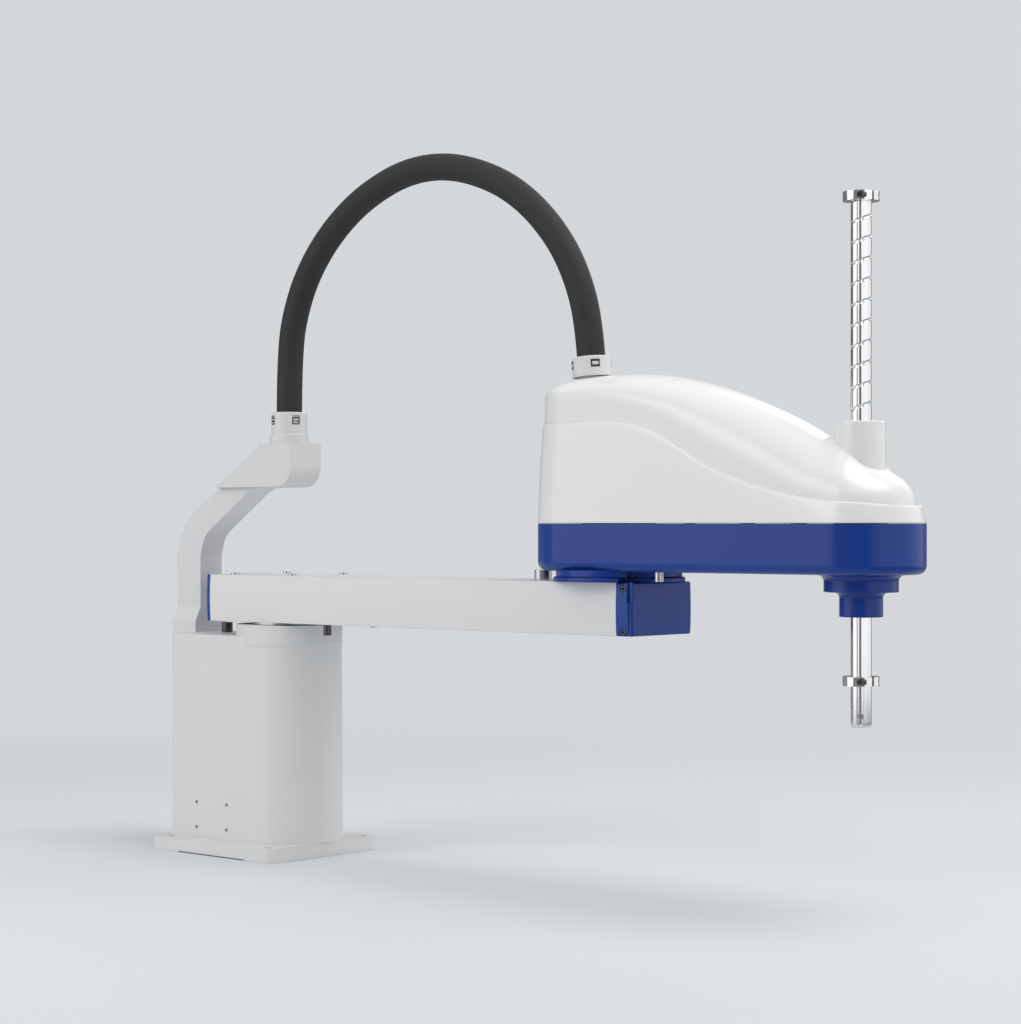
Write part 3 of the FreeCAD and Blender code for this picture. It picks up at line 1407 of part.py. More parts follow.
def quill_shaft():
    """The hollow splined screw shaft with a clamp collar near each end, and the wiper in the chimney."""
    shaft = Piece("splined_shaft")
    radius = s.shaft_diameter / 2
    shaft.pad(circle(shaft.sketch(offset=s.shaft_low), 0, 0, radius), s.shaft_long)
    groove = shaft.sketch(offset=s.shaft_low)
    half = s.spline_width / 2
    box_outline(groove, radius - s.spline_depth, radius + 1, -half, half)
    cut_groove = shaft.pocket(groove, s.shaft_long, ahead=True)
    shaft.around([cut_groove], 3)
    shaft.pocket(circle(shaft.sketch(offset=s.shaft_low), 0, 0, s.shaft_bore / 2), s.shaft_long, ahead=True)
    cross = circle(shaft.sketch("YZ_Plane"), 0, s.shaft_low + s.cross_hole_up, s.cross_hole / 2)
    shaft.pocket(cross, radius * 2 + 2, both=True)
    shaft.body.Placement = Placement(Vector(), Rotation(Vector(0, 0, 1), SHAFT_TURN))
    at(shaft.body, quill)

    for name, up in (("lower", s.lower_collar_up), ("upper", s.shaft_long - s.upper_collar_down)):
        collar = Piece(f"{name}_collar")
        low = s.shaft_low + up
        middle = low + s.collar_tall / 2
        half = collar.sketch("XZ_Plane")
        bore = radius + s.seat_gap
        wide = s.collar_radius
        polygon(half, [(bore, low), (wide, low), (wide, low + s.collar_tall), (bore, low + s.collar_tall)])
        collar.turn(half)
        slit = collar.sketch(offset=low)
        box_outline(slit, -s.collar_slit / 2, s.collar_slit / 2, radius - 1, wide + 1)
        collar.pocket(slit, s.collar_tall, ahead=True)
        lug = (radius + wide) / 2
        bolt = collar.sketch("YZ_Plane", offset=-wide)
        circle(bolt, lug, middle, s.collar_screw / 2 + s.seat_gap)
        collar.pocket(bolt, wide * 2, ahead=True)
        head = collar.sketch("YZ_Plane", offset=7)
        circle(head, lug, middle, s.collar_screw * 0.8)
        collar.pocket(head, wide, ahead=True)
        collar.body.Placement = Placement(Vector(), Rotation(Vector(0, 0, 1), COLLAR_TURN))
        at(collar.body, quill)

        bolt_body = Piece(f"{name}_collar_screw")
        head_radius = s.collar_screw * 0.8 - s.seat_gap
        knob = circle(bolt_body.sketch("YZ_Plane", offset=7), lug, middle, head_radius)
        bolt_body.pad(knob, 3.4)
        stem = circle(bolt_body.sketch("YZ_Plane", offset=7), lug, middle, s.collar_screw / 2)
        bolt_body.pad(stem, 16, back=True)
        bolt_body.body.Placement = Placement(Vector(), Rotation(Vector(0, 0, 1), COLLAR_TURN))
        at(bolt_body.body, quill)

    wiper_top = tray_top + s.chimney_height - 6
    outer = s.chimney_top_radius - s.cover_wall - s.seat_gap
    keep(ring("shaft_wiper", outer, radius + s.free_gap, wiper_top - 8, 8, quill), "shaft_wiper")


# The write-out
base_column()
rear_panel()
cable_duct()
rim, flange, tall, depth = s.gland_flange_radius, s.gland_flange_tall, s.gland_collar_tall, s.gland_seat_depth
lower_seat = gland("duct", 0, s.head_top, 0, rim, flange, tall, depth, -21.3)
rim, flange, tall, depth = s.cover_gland_rim, s.cover_gland_flange, s.cover_gland_tall, s.cover_gland_seat_depth
gland_x = elbow - s.cover_gland_back
upper_seat = gland("cover", gland_x, cover_gland_foot(), s.cover_gland_lean, rim, flange, tall, depth, -39.7)
hose(lower_seat, upper_seat)
shoulder_drive()
inner_arm()
elbow_drive()
outer_arm_tray()
outer_arm_cover()
spline_nut(quill_housing())
belt_drives()
quill_shaft()

doc.recompute()
faults = []
for thing in doc.Objects:
    if "Invalid" in thing.State or "Error" in thing.State:
        faults.append(f"{thing.Label}: {thing.State}")
for thing in SUB_PARTS:
    if thing.Shape.isNull() or not thing.Shape.isValid() or not thing.Shape.Solids:
        faults.append(f"{thing.Label}: shape is null or not valid")
if faults:
    raise RuntimeError("; ".join(faults))

os.makedirs("parts", exist_ok=True)
for thing in SUB_PARTS:
    thing.Shape.exportStep(f"parts/{thing.Label}.step")
print(len(SUB_PARTS), "sub-parts")
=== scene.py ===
import json
import math

import bmesh
import bpy
import numpy as np
from mathutils import Matrix, Vector


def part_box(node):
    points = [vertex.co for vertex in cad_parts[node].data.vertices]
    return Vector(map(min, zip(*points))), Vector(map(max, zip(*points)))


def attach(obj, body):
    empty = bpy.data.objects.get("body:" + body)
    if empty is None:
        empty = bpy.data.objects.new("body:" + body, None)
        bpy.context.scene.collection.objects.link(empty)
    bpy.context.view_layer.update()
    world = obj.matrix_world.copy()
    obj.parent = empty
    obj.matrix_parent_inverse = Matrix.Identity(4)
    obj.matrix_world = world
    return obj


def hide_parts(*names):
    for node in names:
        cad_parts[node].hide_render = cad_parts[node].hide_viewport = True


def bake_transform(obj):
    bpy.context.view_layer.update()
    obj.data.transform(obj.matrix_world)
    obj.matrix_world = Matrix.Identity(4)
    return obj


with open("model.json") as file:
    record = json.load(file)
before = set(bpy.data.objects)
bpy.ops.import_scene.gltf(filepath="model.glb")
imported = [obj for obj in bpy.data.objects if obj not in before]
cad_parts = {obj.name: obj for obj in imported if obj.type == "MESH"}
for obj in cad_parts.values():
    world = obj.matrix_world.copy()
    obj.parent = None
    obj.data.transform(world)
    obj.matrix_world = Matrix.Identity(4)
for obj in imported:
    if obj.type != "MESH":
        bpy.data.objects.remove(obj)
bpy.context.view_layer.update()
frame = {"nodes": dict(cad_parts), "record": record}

MM = 0.001
ELBOW = 0.5
QUILL = 0.8
TRAY_RIM = 0.387


# Camera: level with the seam between tray and cover, off the arms' front end and side

LENS = 86.73
LENS_SHIFT_UP = 0.0114
CAMERA_PLACE = (2.124, -2.006, 0.387)
CAMERA_LOOK = (-0.663, 0.749, 0.0)


def set_camera():
    """The photograph's view: a long level lens, with the frame shifted up a little."""
    data = bpy.data.cameras.new("photo_camera")
    data.lens = LENS
    data.sensor_width = 36.0
    data.shift_y = LENS_SHIFT_UP
    data.clip_start, data.clip_end = 0.05, 200.0
    camera = bpy.data.objects.new("photo_camera", data)
    bpy.context.scene.collection.objects.link(camera)
    camera.location = CAMERA_PLACE
    camera.rotation_euler = Vector(CAMERA_LOOK).to_track_quat("-Z", "Y").to_euler()
    bpy.context.scene.camera = camera


set_camera()


# Surfaces on grids

def mesh_piece(name, points, quads, body=None, sharp=35.0):
    """A mesh from points (n, 3) and four-cornered faces (m, 4), shaded smooth up to an angle. A corner that
    a face names twice counts once."""
    mesh = bpy.data.meshes.new(name)
    mesh.vertices.add(len(points))
    mesh.vertices.foreach_set("co", np.ascontiguousarray(points, np.float32).ravel())
    faces = [tuple(dict.fromkeys(face)) for face in quads.tolist()]
    faces = [face for face in faces if len(face) > 2]
    starts = np.cumsum([0] + [len(face) for face in faces])
    mesh.loops.add(int(starts[-1]))
    corners = np.concatenate([np.array(face) for face in faces])
    mesh.loops.foreach_set("vertex_index", corners.astype(np.int32))
    mesh.polygons.add(len(faces))
    mesh.polygons.foreach_set("loop_start", starts[:-1].astype(np.int32))
    mesh.update(calc_edges=True)
    mesh.validate()
    mesh.shade_smooth()
    mesh.set_sharp_from_angle(angle=math.radians(sharp))
    piece = bpy.data.objects.new(name, mesh)
    bpy.context.scene.collection.objects.link(piece)
    if body:
        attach(piece, body)
    return piece


def weld(piece, distance=1e-6):
    """Merges the doubled points of a pole, and turns the faces outwards."""
    work = bmesh.new()
    work.from_mesh(piece.data)
    bmesh.ops.remove_doubles(work, verts=work.verts, dist=distance)
    bmesh.ops.recalc_face_normals(work, faces=work.faces)
    work.to_mesh(piece.data)
    work.free()


def grid_quads(rows, columns, close_rows=False, close_columns=False):
    """Faces of a grid whose points are stored row by row. A closed direction joins its last line to its
    first."""
    i = np.arange(rows if close_rows else rows - 1)
    j = np.arange(columns if close_columns else columns - 1)
    i, j = (a.ravel() for a in np.meshgrid(i, j, indexing="ij"))
    ni, nj = (i + 1) % rows, (j + 1) % columns
    return np.stack([i * columns + j, i * columns + nj, ni * columns + nj, ni * columns + j], axis=1)


def lathe(profile, x=0.0, y=0.0, steps=96):
    """A closed profile of (radius, z) turned about an upright axis: point = axis + r (cos a, sin a, 0) + z."""
    r, z = np.array(profile, float).T
    a = np.linspace(0, 2 * np.pi, steps, endpoint=False)
    height = np.repeat(z[:, None], steps, 1)
    points = np.stack([x + np.outer(r, np.cos(a)), y + np.outer(r, np.sin(a)), height], axis=2)
    return points.reshape(-1, 3), grid_quads(len(r), steps, close_rows=True, close_columns=True)[:, ::-1]


# Hose: one smooth line through the duct's gland, over the crown and down into the cover's gland

HOSE_RADIUS = 0.015
HOSE_LOWER = [
    (0, 504.1), (0, 590), (13.6, 644.7), (38.8, 690), (78.2, 730.8), (128.5, 763), (194, 785), (227.25, 785),
]
HOSE_UPPER = [
    (227.25, 785), (260.5, 785), (327.5, 763.8), (376, 734), (417, 693), (443.6, 648.7), (459.3, 598),
    (463.086, 550.573),
]


def smooth_line(route):
    """The points that a NURBS curve of order 3 through this route's control points gives, in metres."""
    data = bpy.data.curves.new("hose_line", "CURVE")
    data.dimensions = "3D"
    spline = data.splines.new("NURBS")
    spline.points.add(len(route) - 1)
    for point, (x, z) in zip(spline.points, route):
        point.co = (x * MM, 0, z * MM, 1)
    spline.order_u = 3
    spline.use_endpoint_u = True
    spline.resolution_u = 14
    carrier = bpy.data.objects.new("hose_line", data)
    line = bpy.data.meshes.new_from_object(carrier)
    points = np.zeros(len(line.vertices) * 3, np.float32)
    line.vertices.foreach_get("co", points)
    bpy.data.objects.remove(carrier)
    bpy.data.meshes.remove(line)
    return points.reshape(-1, 3).astype(float)


def hose_piece(name, route):
    """A tube round the line: point = centre + R (cos a * normal + sin a * Y), closed at both ends."""
    line = smooth_line(route)
    along = np.gradient(line, axis=0)
    along /= np.linalg.norm(along, axis=1)[:, None]
    normal = np.stack([-along[:, 2], np.zeros(len(line)), along[:, 0]], axis=1)
    a = np.linspace(0, 2 * np.pi, 64, endpoint=False)
    ring = np.cos(a)[None, :, None] * normal[:, None, :] + np.sin(a)[None, :, None] * np.array([0, 1.0, 0])
    tube = line[:, None, :] + HOSE_RADIUS * ring
    first = np.repeat(line[:1, None, :], len(a), 1)
    last = np.repeat(line[-1:, None, :], len(a), 1)
    points = np.concatenate([first, tube, last]).reshape(-1, 3)
    rows = len(line) + 2
    piece = mesh_piece(name, points, grid_quads(rows, len(a), close_columns=True), sharp=50)
    weld(piece)
    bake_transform(piece)
    return piece


hose_lower_sleeve = hose_piece("hose_lower_sleeve", HOSE_LOWER)
hose_upper_sleeve = hose_piece("hose_upper_sleeve", HOSE_UPPER[::-1])
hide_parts("hose_lower")
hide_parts("hose_upper")


# Shaft: straight spline grooves all along, and the screw's helical groove on its upper part

SHAFT_TURN = -62
SHAFT_RADIUS = 0.010
SHAFT_BORE = 0.0055
SHAFT_EDGE = 0.0008
SPLINE_GROOVES = 3
SPLINE_WIDTH = 0.0045
SPLINE_DEEP = 0.0013
CROSS_HOLE = 0.003
CROSS_HOLE_UP = 0.0108
CROSS_HOLE_ROWS = (0.0078, 0.0142)
ROW_GAP = 0.0003
SCREW_LEAD = 0.020
SCREW_START = 0.6854
SCREW_PHASE = 33.4
GROOVE_HALF = 0.00125
GROOVE_DEEP = 0.0008
SCREW_FOOT = 0.319
SCREW_FADE = 0.004


def screw_shaft():
    """The shaft's surface: radius = R - spline groove - helical groove, closed over both ends and through the
    bore. A groove takes depth * sqrt(1 - (s / half width)^2) off the radius, where s is the distance from its
    middle."""
    low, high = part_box("splined_shaft")
    bottom, top = low.z, high.z
    turn = math.radians(SHAFT_TURN)
    a = np.linspace(0, 2 * np.pi, 128, endpoint=False)
    hole_low, hole_high = CROSS_HOLE_ROWS
    plain = np.linspace(bottom + SHAFT_EDGE, bottom + hole_low - ROW_GAP, 3)
    hole_zone = np.arange(bottom + hole_low, bottom + hole_high, ROW_GAP)
    straight = np.linspace(bottom + hole_high + ROW_GAP, SCREW_FOOT - 0.001, 24)
    screw = np.arange(SCREW_FOOT, top - SHAFT_EDGE, 2 * ROW_GAP)
    z = np.concatenate([plain, hole_zone, straight, screw, [top - SHAFT_EDGE]])
    r = np.full((len(z), len(a)), SHAFT_RADIUS)
    for k in range(SPLINE_GROOVES):
        away = np.angle(np.exp(1j * (a - turn - k * 2 * np.pi / SPLINE_GROOVES)))
        s = np.clip(np.abs(SHAFT_RADIUS * np.sin(away)) / (SPLINE_WIDTH / 2), 0, 1)
        r -= np.where(np.abs(away) < 1.0, SPLINE_DEEP * np.sqrt(1 - s * s), 0)[None, :]
    rise = z[:, None] - SCREW_START - SCREW_LEAD * (a[None, :] - math.radians(SCREW_PHASE)) / (2 * np.pi)
    s = np.abs((rise + SCREW_LEAD / 2) % SCREW_LEAD - SCREW_LEAD / 2) / GROOVE_HALF
    fade = np.clip((z - SCREW_FOOT - 0.001) / SCREW_FADE, 0, 1)[:, None]
    r -= fade * GROOVE_DEEP * np.sqrt(np.clip(1 - s * s, 0, 1))
    for side in (0, np.pi):
        away = np.angle(np.exp(1j * (a - turn - side)))
        up = z[:, None] - (bottom + CROSS_HOLE_UP)
        inside = (SHAFT_RADIUS * away[None, :]) ** 2 + up ** 2 < CROSS_HOLE ** 2
        this_side = (np.abs(away) < 1.0)[None, :]
        r = np.where(inside & this_side, SHAFT_BORE + 0.0002, r)
    bores = np.full((1, len(a)), SHAFT_BORE)
    rows = np.concatenate([bores, r[:1] - SHAFT_EDGE, r, r[-1:] - SHAFT_EDGE, bores])
    heights = np.concatenate([[bottom, bottom], z, [top, top]])
    x = QUILL + rows * np.cos(a)[None, :]
    y = rows * np.sin(a)[None, :]
    points = np.stack([x, y, np.repeat(heights[:, None], len(a), 1)], axis=2).reshape(-1, 3)
    piece = mesh_piece("screw_shaft", points, grid_quads(len(rows), len(a), True, True), "shaft", sharp=50)
    weld(piece, 1e-7)
    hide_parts("splined_shaft")
    return piece


shaft_piece = screw_shaft()


# Cover: the moulded hood over the outer arm, in mm above the tray's rim

# Distance ahead of the elbow, height of the step on the side, half width of the lower panel at the step, half
# width of the hood there, height of the ridge, fall from ridge to shoulder, and how square the shoulder is.
COVER_STATIONS = np.array([
    (-29.5, 104.4, 57.0, 55.5, 154.0, 15.0, 13.0),
    (45.0, 104.2, 57.0, 55.5, 154.4, 13.0, 6.0),
    (99.0, 89.5, 57.7, 56.2, 146.3, 11.0, 4.2),
    (150.0, 61.5, 58.7, 57.0, 131.9, 10.0, 3.5),
    (201.0, 41.3, 59.1, 56.9, 112.8, 9.0, 3.0),
    (249.0, 28.8, 59.3, 56.3, 90.2, 7.0, 2.5),
    (279.0, 23.0, 59.1, 55.1, 70.7, 4.0, 2.2),
    (300.0, 20.6, 58.5, 53.6, 54.6, 0.0, 2.0),
])
COVER_FOOT = 62.5
COVER_BULGE = 1.0
NOSE_STEP = 16.0
SADDLE_TALL = 22.0
SADDLE_AHEAD = 298.5
SADDLE_TAIL_SIDE = 23.0
SADDLE_NOSE_SIDE = 14.5
SADDLE_HALF = 45.0
SADDLE_FOOT = 16.0
CHIMNEY = 24.5
CHIMNEY_TOP = 23.6
CHIMNEY_INSIDE = 20.6
CHIMNEY_MOUTH = 12.0
CHIMNEY_FOOT = 30.0
CHIMNEY_TALL = 98.7
CHIMNEY_COVE = 18.0
CHIMNEY_COVE_TALL = 4.0
CHIMNEY_AHEAD = 300.0
END_COLUMNS = 72
SIDE_COLUMNS = 164
WALL_ROWS = 14
HOOD_ROWS = 44


def cubic_through(at, values, x):
    """The natural cubic spline through (at, values), read at x, for each column of values."""
    gap = np.diff(at)[:, None]
    slope = np.diff(values, axis=0) / gap
    system = np.eye(len(at))
    right = np.zeros_like(values)
    inner = np.arange(1, len(at) - 1)
    system[inner, inner - 1] = gap[:-1, 0]
    system[inner, inner] = 2 * (gap[:-1, 0] + gap[1:, 0])
    system[inner, inner + 1] = gap[1:, 0]
    right[1:-1] = 6 * np.diff(slope, axis=0)
    bend = np.linalg.solve(system, right)
    i = np.clip(np.searchsorted(at, x) - 1, 0, len(at) - 2)
    t = (x - at[i])[:, None]
    start, stop, wide = bend[i], bend[i + 1], gap[i]
    first = slope[i] - wide * (2 * start + stop) / 6
    return values[i] + t * first + t ** 2 * start / 2 + t ** 3 * (stop - start) / (6 * wide)


def cover_surface():
    """The cover's outside as a grid. Columns run round the plan, two straight sides and two half turns about
    the ends of the middle line. Rows climb the side to the step, cross its ledge, and go over the hood, where a
    point at angle p lies on |y / w|^n + |z / h|^n = 1 and h = tall - crown (y / w)^2. In front, a saddle of the
    shape exp(-((x - ahead) / a)^2) exp(-(y / half)^2), with one a towards the tail and a shorter one towards
    the nose, and a cove behind lead up to the chimney. Round the nose the step falls from the side's height s
    to n in front, as n + (s - n) sin^2."""
    tail, nose = COVER_STATIONS[[0, -1], 0]
    straight = np.linspace(tail, nose, SIDE_COLUMNS + 2)[1:-1]
    half_turn = np.linspace(-np.pi / 2, np.pi / 2, END_COLUMNS)
    side = np.full(SIDE_COLUMNS, np.pi / 2)
    ahead, behind = np.full(END_COLUMNS, nose), np.full(END_COLUMNS, tail)
    middle = np.concatenate([ahead, straight[::-1], behind, straight])
    angle = np.concatenate([half_turn, side, half_turn + np.pi, -side])
    params = cubic_through(COVER_STATIONS[:, 0], COVER_STATIONS[:, 1:], middle)
    step, panel, hood, ridge, crown, square = params.T[:, None, :]
    turned = np.where(middle == nose, np.sin(angle) ** 2, 1.0)
    step = NOSE_STEP + (step - NOSE_STEP) * turned
    t = np.linspace(0, 1, WALL_ROWS)[:, None]
    wall_out = COVER_FOOT + (panel - COVER_FOOT) * t + COVER_BULGE * np.sin(np.pi * t) * step / 104
    wall_up = 0.9 + (step - 1.9) * t
    ledge_out = np.concatenate([panel - 0.3, panel - 1.0, hood + 0.8, hood + 0.25, hood])
    ledge_up = np.concatenate([step - 0.3, step, step, step + 0.25, step + 0.8])
    p = np.linspace(0.02, np.pi / 2, HOOD_ROWS)[:, None]
    out = (np.cos(p) ** square + np.sin(p) ** square) ** (-1 / square)
    across = out * np.cos(p)
    arch_out = hood * across
    arch_up = step + 0.8 + (ridge - step - 0.8 - crown * across ** 2) * out * np.sin(p)
    foot_out = np.full((1, len(middle)), COVER_FOOT - 0.6)
    foot_up = np.full((1, len(middle)), 0.3)
    r = np.concatenate([foot_out, wall_out, ledge_out, arch_out])
    z = np.concatenate([foot_up, wall_up, ledge_up, arch_up])
    r[-1] = 0
    x = middle + r * np.cos(angle)
    y = r * np.sin(angle)
    hood_row = np.arange(len(r)) >= len(r) - HOOD_ROWS
    on_hood = np.clip((z - step - 1) / SADDLE_FOOT, 0, 1) * hood_row[:, None]
    reach = np.where(x < SADDLE_AHEAD, SADDLE_TAIL_SIDE, SADDLE_NOSE_SIDE)
    z = z + on_hood * SADDLE_TALL * np.exp(-((x - SADDLE_AHEAD) / reach) ** 2 - (y / SADDLE_HALF) ** 2)
    cove = np.clip((np.hypot(x - CHIMNEY_AHEAD, y) - CHIMNEY) / CHIMNEY_COVE, 0, 1)
    z = z + on_hood * CHIMNEY_COVE_TALL * np.clip((CHIMNEY_AHEAD - x) / CHIMNEY, 0, 1) * (1 - cove) ** 2
    points = np.stack([ELBOW + x * MM, y * MM, TRAY_RIM + z * MM], axis=2).reshape(-1, 3)
    piece = mesh_piece("cover_hood", points, grid_quads(*r.shape, close_columns=True), "outer_arm", sharp=40)
    weld(piece, 1e-6)
    thick = piece.modifiers.new("wall", "SOLIDIFY")
    thick.thickness = 0.003
    thick.offset = -1
    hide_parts("outer_arm_cover")
    return piece


def cover_chimney():
    """The open tube that the shaft rises through, with the lip round its mouth."""
    foot = TRAY_RIM / MM + CHIMNEY_FOOT
    top = TRAY_RIM / MM + CHIMNEY_TALL
    outside = [(CHIMNEY, foot), (CHIMNEY_TOP + 0.15, top - 1.6), (CHIMNEY_TOP - 0.1, top - 0.6)]
    lip = [(CHIMNEY_TOP - 0.6, top - 0.1), (CHIMNEY_TOP - 1.2, top), (CHIMNEY_MOUTH + 0.6, top)]
    mouth = [(CHIMNEY_MOUTH + 0.1, top - 0.2), (CHIMNEY_MOUTH, top - 0.7), (CHIMNEY_MOUTH, top - 3)]
    profile = np.array(outside + lip + mouth + [(CHIMNEY_INSIDE, top - 3), (CHIMNEY_INSIDE, foot)])
    points, quads = lathe(profile * MM, QUILL)
    piece = mesh_piece("cover_chimney", points, quads, "outer_arm", sharp=40)
    weld(piece)
    return piece


cover_pieces = [cover_surface(), cover_chimney()]


# Screw heads with hexagonal sockets, in place of the plain heads of the solids

def loose_boxes(name):
    """The corners of each loose part's box in a node. Points linked by edges share the smallest of their
    numbers."""
    mesh = frame["nodes"][name].data
    points = np.zeros(len(mesh.vertices) * 3, np.float32)
    mesh.vertices.foreach_get("co", points)
    matrix = np.array(frame["nodes"][name].matrix_world)
    points = points.reshape(-1, 3) @ matrix[:3, :3].T + matrix[:3, 3]
    ends = np.zeros(len(mesh.edges) * 2, np.int32)
    mesh.edges.foreach_get("vertices", ends)
    first, second = ends.reshape(-1, 2).T
    label = np.arange(len(points))
    while True:
        least = np.minimum(label[first], label[second])
        updated = label.copy()
        np.minimum.at(updated, first, least)
        np.minimum.at(updated, second, least)
        if (updated == label).all():
            break
        label = updated
    return [(points[label == k].min(0), points[label == k].max(0)) for k in np.unique(label)]


HEX_SIZE = 0.5


def socket_heads(name, body, facing):
    """Button heads at the screws of one node, with sizes as shares of the head's radius. A head faces along
    facing, or against it on the other side of the origin. A point of the socket's wall at angle a lies at
    apothem / cos(a'), where a' is the angle from the middle of its flat."""
    a = np.linspace(0, 2 * np.pi, 48, endpoint=False)
    flat = (a + np.pi / 6) % (np.pi / 3) - np.pi / 6
    blocks, faces, count = [], [], 0
    for low, high in loose_boxes(name):
        face = np.array(facing, float)
        face *= math.copysign(1, face @ (low + high))
        side = np.sort((high - low)[np.abs(face) < 0.5])
        radius = float(side[-1]) / 2
        centre = np.where(np.abs(face) > 0.5, np.where(face > 0, high, low), (low + high) / 2)
        hexagon = HEX_SIZE * radius / np.cos(flat)
        ring = np.ones_like(a)
        rim = radius * ring
        rows = [(0 * ring, -1.1), (rim, -1.1), (rim, -0.30), (0.96 * rim, -0.08), (0.88 * rim, 0),
                (hexagon * 1.07, 0), (hexagon, -0.06), (hexagon, -0.62), (0 * ring, -0.75)]
        across = np.cross(face, (0, 0, 1.0) if abs(face[2]) < 0.5 else (1.0, 0, 0))
        upward = np.cross(face, across)
        grid = [centre + np.outer(r * np.cos(a), across) + np.outer(r * np.sin(a), upward)
                + face * rise * radius for r, rise in rows]
        blocks.append(np.concatenate(grid))
        faces.append(grid_quads(len(rows), len(a), close_columns=True) + count)
        count += len(rows) * len(a)
    piece = mesh_piece(name + "_heads", np.concatenate(blocks), np.concatenate(faces), body, sharp=30)
    weld(piece, 1e-7)
    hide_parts(name)
    return piece


# The catches of the snap collars: the shade in the rectangular gaps round each tongue is painted as dark
# frames, four round each gland

WINDOW_PROUD = 0.15
WINDOW_DEEP = 0.6
WINDOW_WIDE = 9.6
WINDOW_TALL = 8.2
WINDOW_RIM = 1.4


def gland_window_shade(name, node, body, foot, lean, turn, drop):
    """Dark curved frames on the collar's wall, painted shade for the gaps round each catch's tongue. A point of
    a frame lies at radius R and angle turn + u / R, at height z, and the frame runs round a rectangle
    WINDOW_WIDE by
    WINDOW_TALL whose top is the given drop below the rim."""
    low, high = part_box(node)
    radius = (high.y - low.y) / 2 / MM
    tilt = Matrix.Rotation(math.radians(-lean), 4, "Y")
    slope = math.radians(lean)
    crown = ((high.z - foot[2]) / MM - radius * math.sin(slope)) / math.cos(slope)
    top = crown - drop
    wide, tall, rim = WINDOW_WIDE / 2, WINDOW_TALL, WINDOW_RIM
    side = np.linspace(-1, 1, 9)
    ones = np.ones_like(side)
    u = np.concatenate([side, ones, -side, -ones])
    v = np.concatenate([ones, -side, -ones, side])
    sunk, proud = radius - WINDOW_DEEP, radius + WINDOW_PROUD
    loops = np.stack([
        np.stack([u * (wide - inset), top - tall / 2 + v * (tall / 2 - inset), np.full_like(u, r)], axis=1)
        for inset, r in ((0, sunk), (0, proud), (rim, proud), (rim, sunk))
    ])
    blocks, faces = [], []
    for quarter in range(4):
        angle = math.radians(turn + 90 * quarter) + loops[..., 0] / radius
        r = loops[..., 2]
        block = np.stack([r * np.cos(angle), r * np.sin(angle), loops[..., 1]], axis=-1).reshape(-1, 3) * MM
        blocks.append(block)
        frame_quads = grid_quads(len(loops), len(u), close_rows=True, close_columns=True)
        faces.append(frame_quads + quarter * len(block))
    points = np.concatenate(blocks) @ np.array(tilt.to_3x3()).T + np.array(foot)
    piece = mesh_piece(name, points, np.concatenate(faces), body, sharp=30)
    weld(piece, 1e-7)
    return piece


# Painted shade: dark frames where the collars' catches have shaded gaps
window_shade_pieces = [
    gland_window_shade("duct_gland_window_shade", "duct_gland_collar", "base", foot=(0, 0, 0.4816), lean=0, turn=-21.3,
                  drop=6.4),
    gland_window_shade("cover_gland_window_shade", "cover_gland_collar", "outer_arm", foot=(0.4638, 0, 0.5415), lean=4.5,
                  turn=-39.7, drop=4.0),
]

head_pieces = [
    socket_heads("shoulder_screws", "inner_arm", facing=(0, 0, 1)),
    socket_heads("front_cap_screws", "inner_arm", facing=(0, 1, 0)),
    socket_heads("rear_cap_screws", "inner_arm", facing=(-1, 0, 0)),
    socket_heads("rear_panel_screws", "base", facing=(-1, 0, 0)),
]


# Materials

def group_tree(name, inputs, outputs):
    """An empty shader node group with its sockets. Inputs are (name, type, default), outputs (name, type)."""
    tree = bpy.data.node_groups.new(name, "ShaderNodeTree")
    for label, kind, default in inputs:
        socket = tree.interface.new_socket(label, in_out="INPUT", socket_type=kind)
        if default is not None:
            socket.default_value = default
    for label, kind in outputs:
        tree.interface.new_socket(label, in_out="OUTPUT", socket_type=kind)
    return tree, tree.nodes.new("NodeGroupInput"), tree.nodes.new("NodeGroupOutput")


def node(tree, kind, inputs=None, **settings):
    """One node with its settings, its input values and its links. An input that is a socket is linked."""
    made = tree.nodes.new(kind)
    for key, value in settings.items():
        setattr(made, key, value)
    for key, value in (inputs or {}).items():
        if isinstance(value, bpy.types.NodeSocket):
            tree.links.new(value, made.inputs[key])
        else:
            made.inputs[key].default_value = value
    return made


def maths(tree, operation, first, second=0.0, third=0.0):
    """The result of one step of arithmetic on numbers or sockets."""
    made = tree.nodes.new("ShaderNodeMath")
    made.operation = operation
    for i, value in enumerate((first, second, third)):
        if isinstance(value, bpy.types.NodeSocket):
            tree.links.new(value, made.inputs[i])
        else:
            made.inputs[i].default_value = value
    return made.outputs[0]


def tinted(tree, colour, factor):
    """A colour with its brightness multiplied by a factor."""
    made = tree.nodes.new("ShaderNodeVectorMath")
    made.operation = "SCALE"
    tree.links.new(colour, made.inputs[0])
    tree.links.new(factor, made.inputs["Scale"])
    return made.outputs[0]


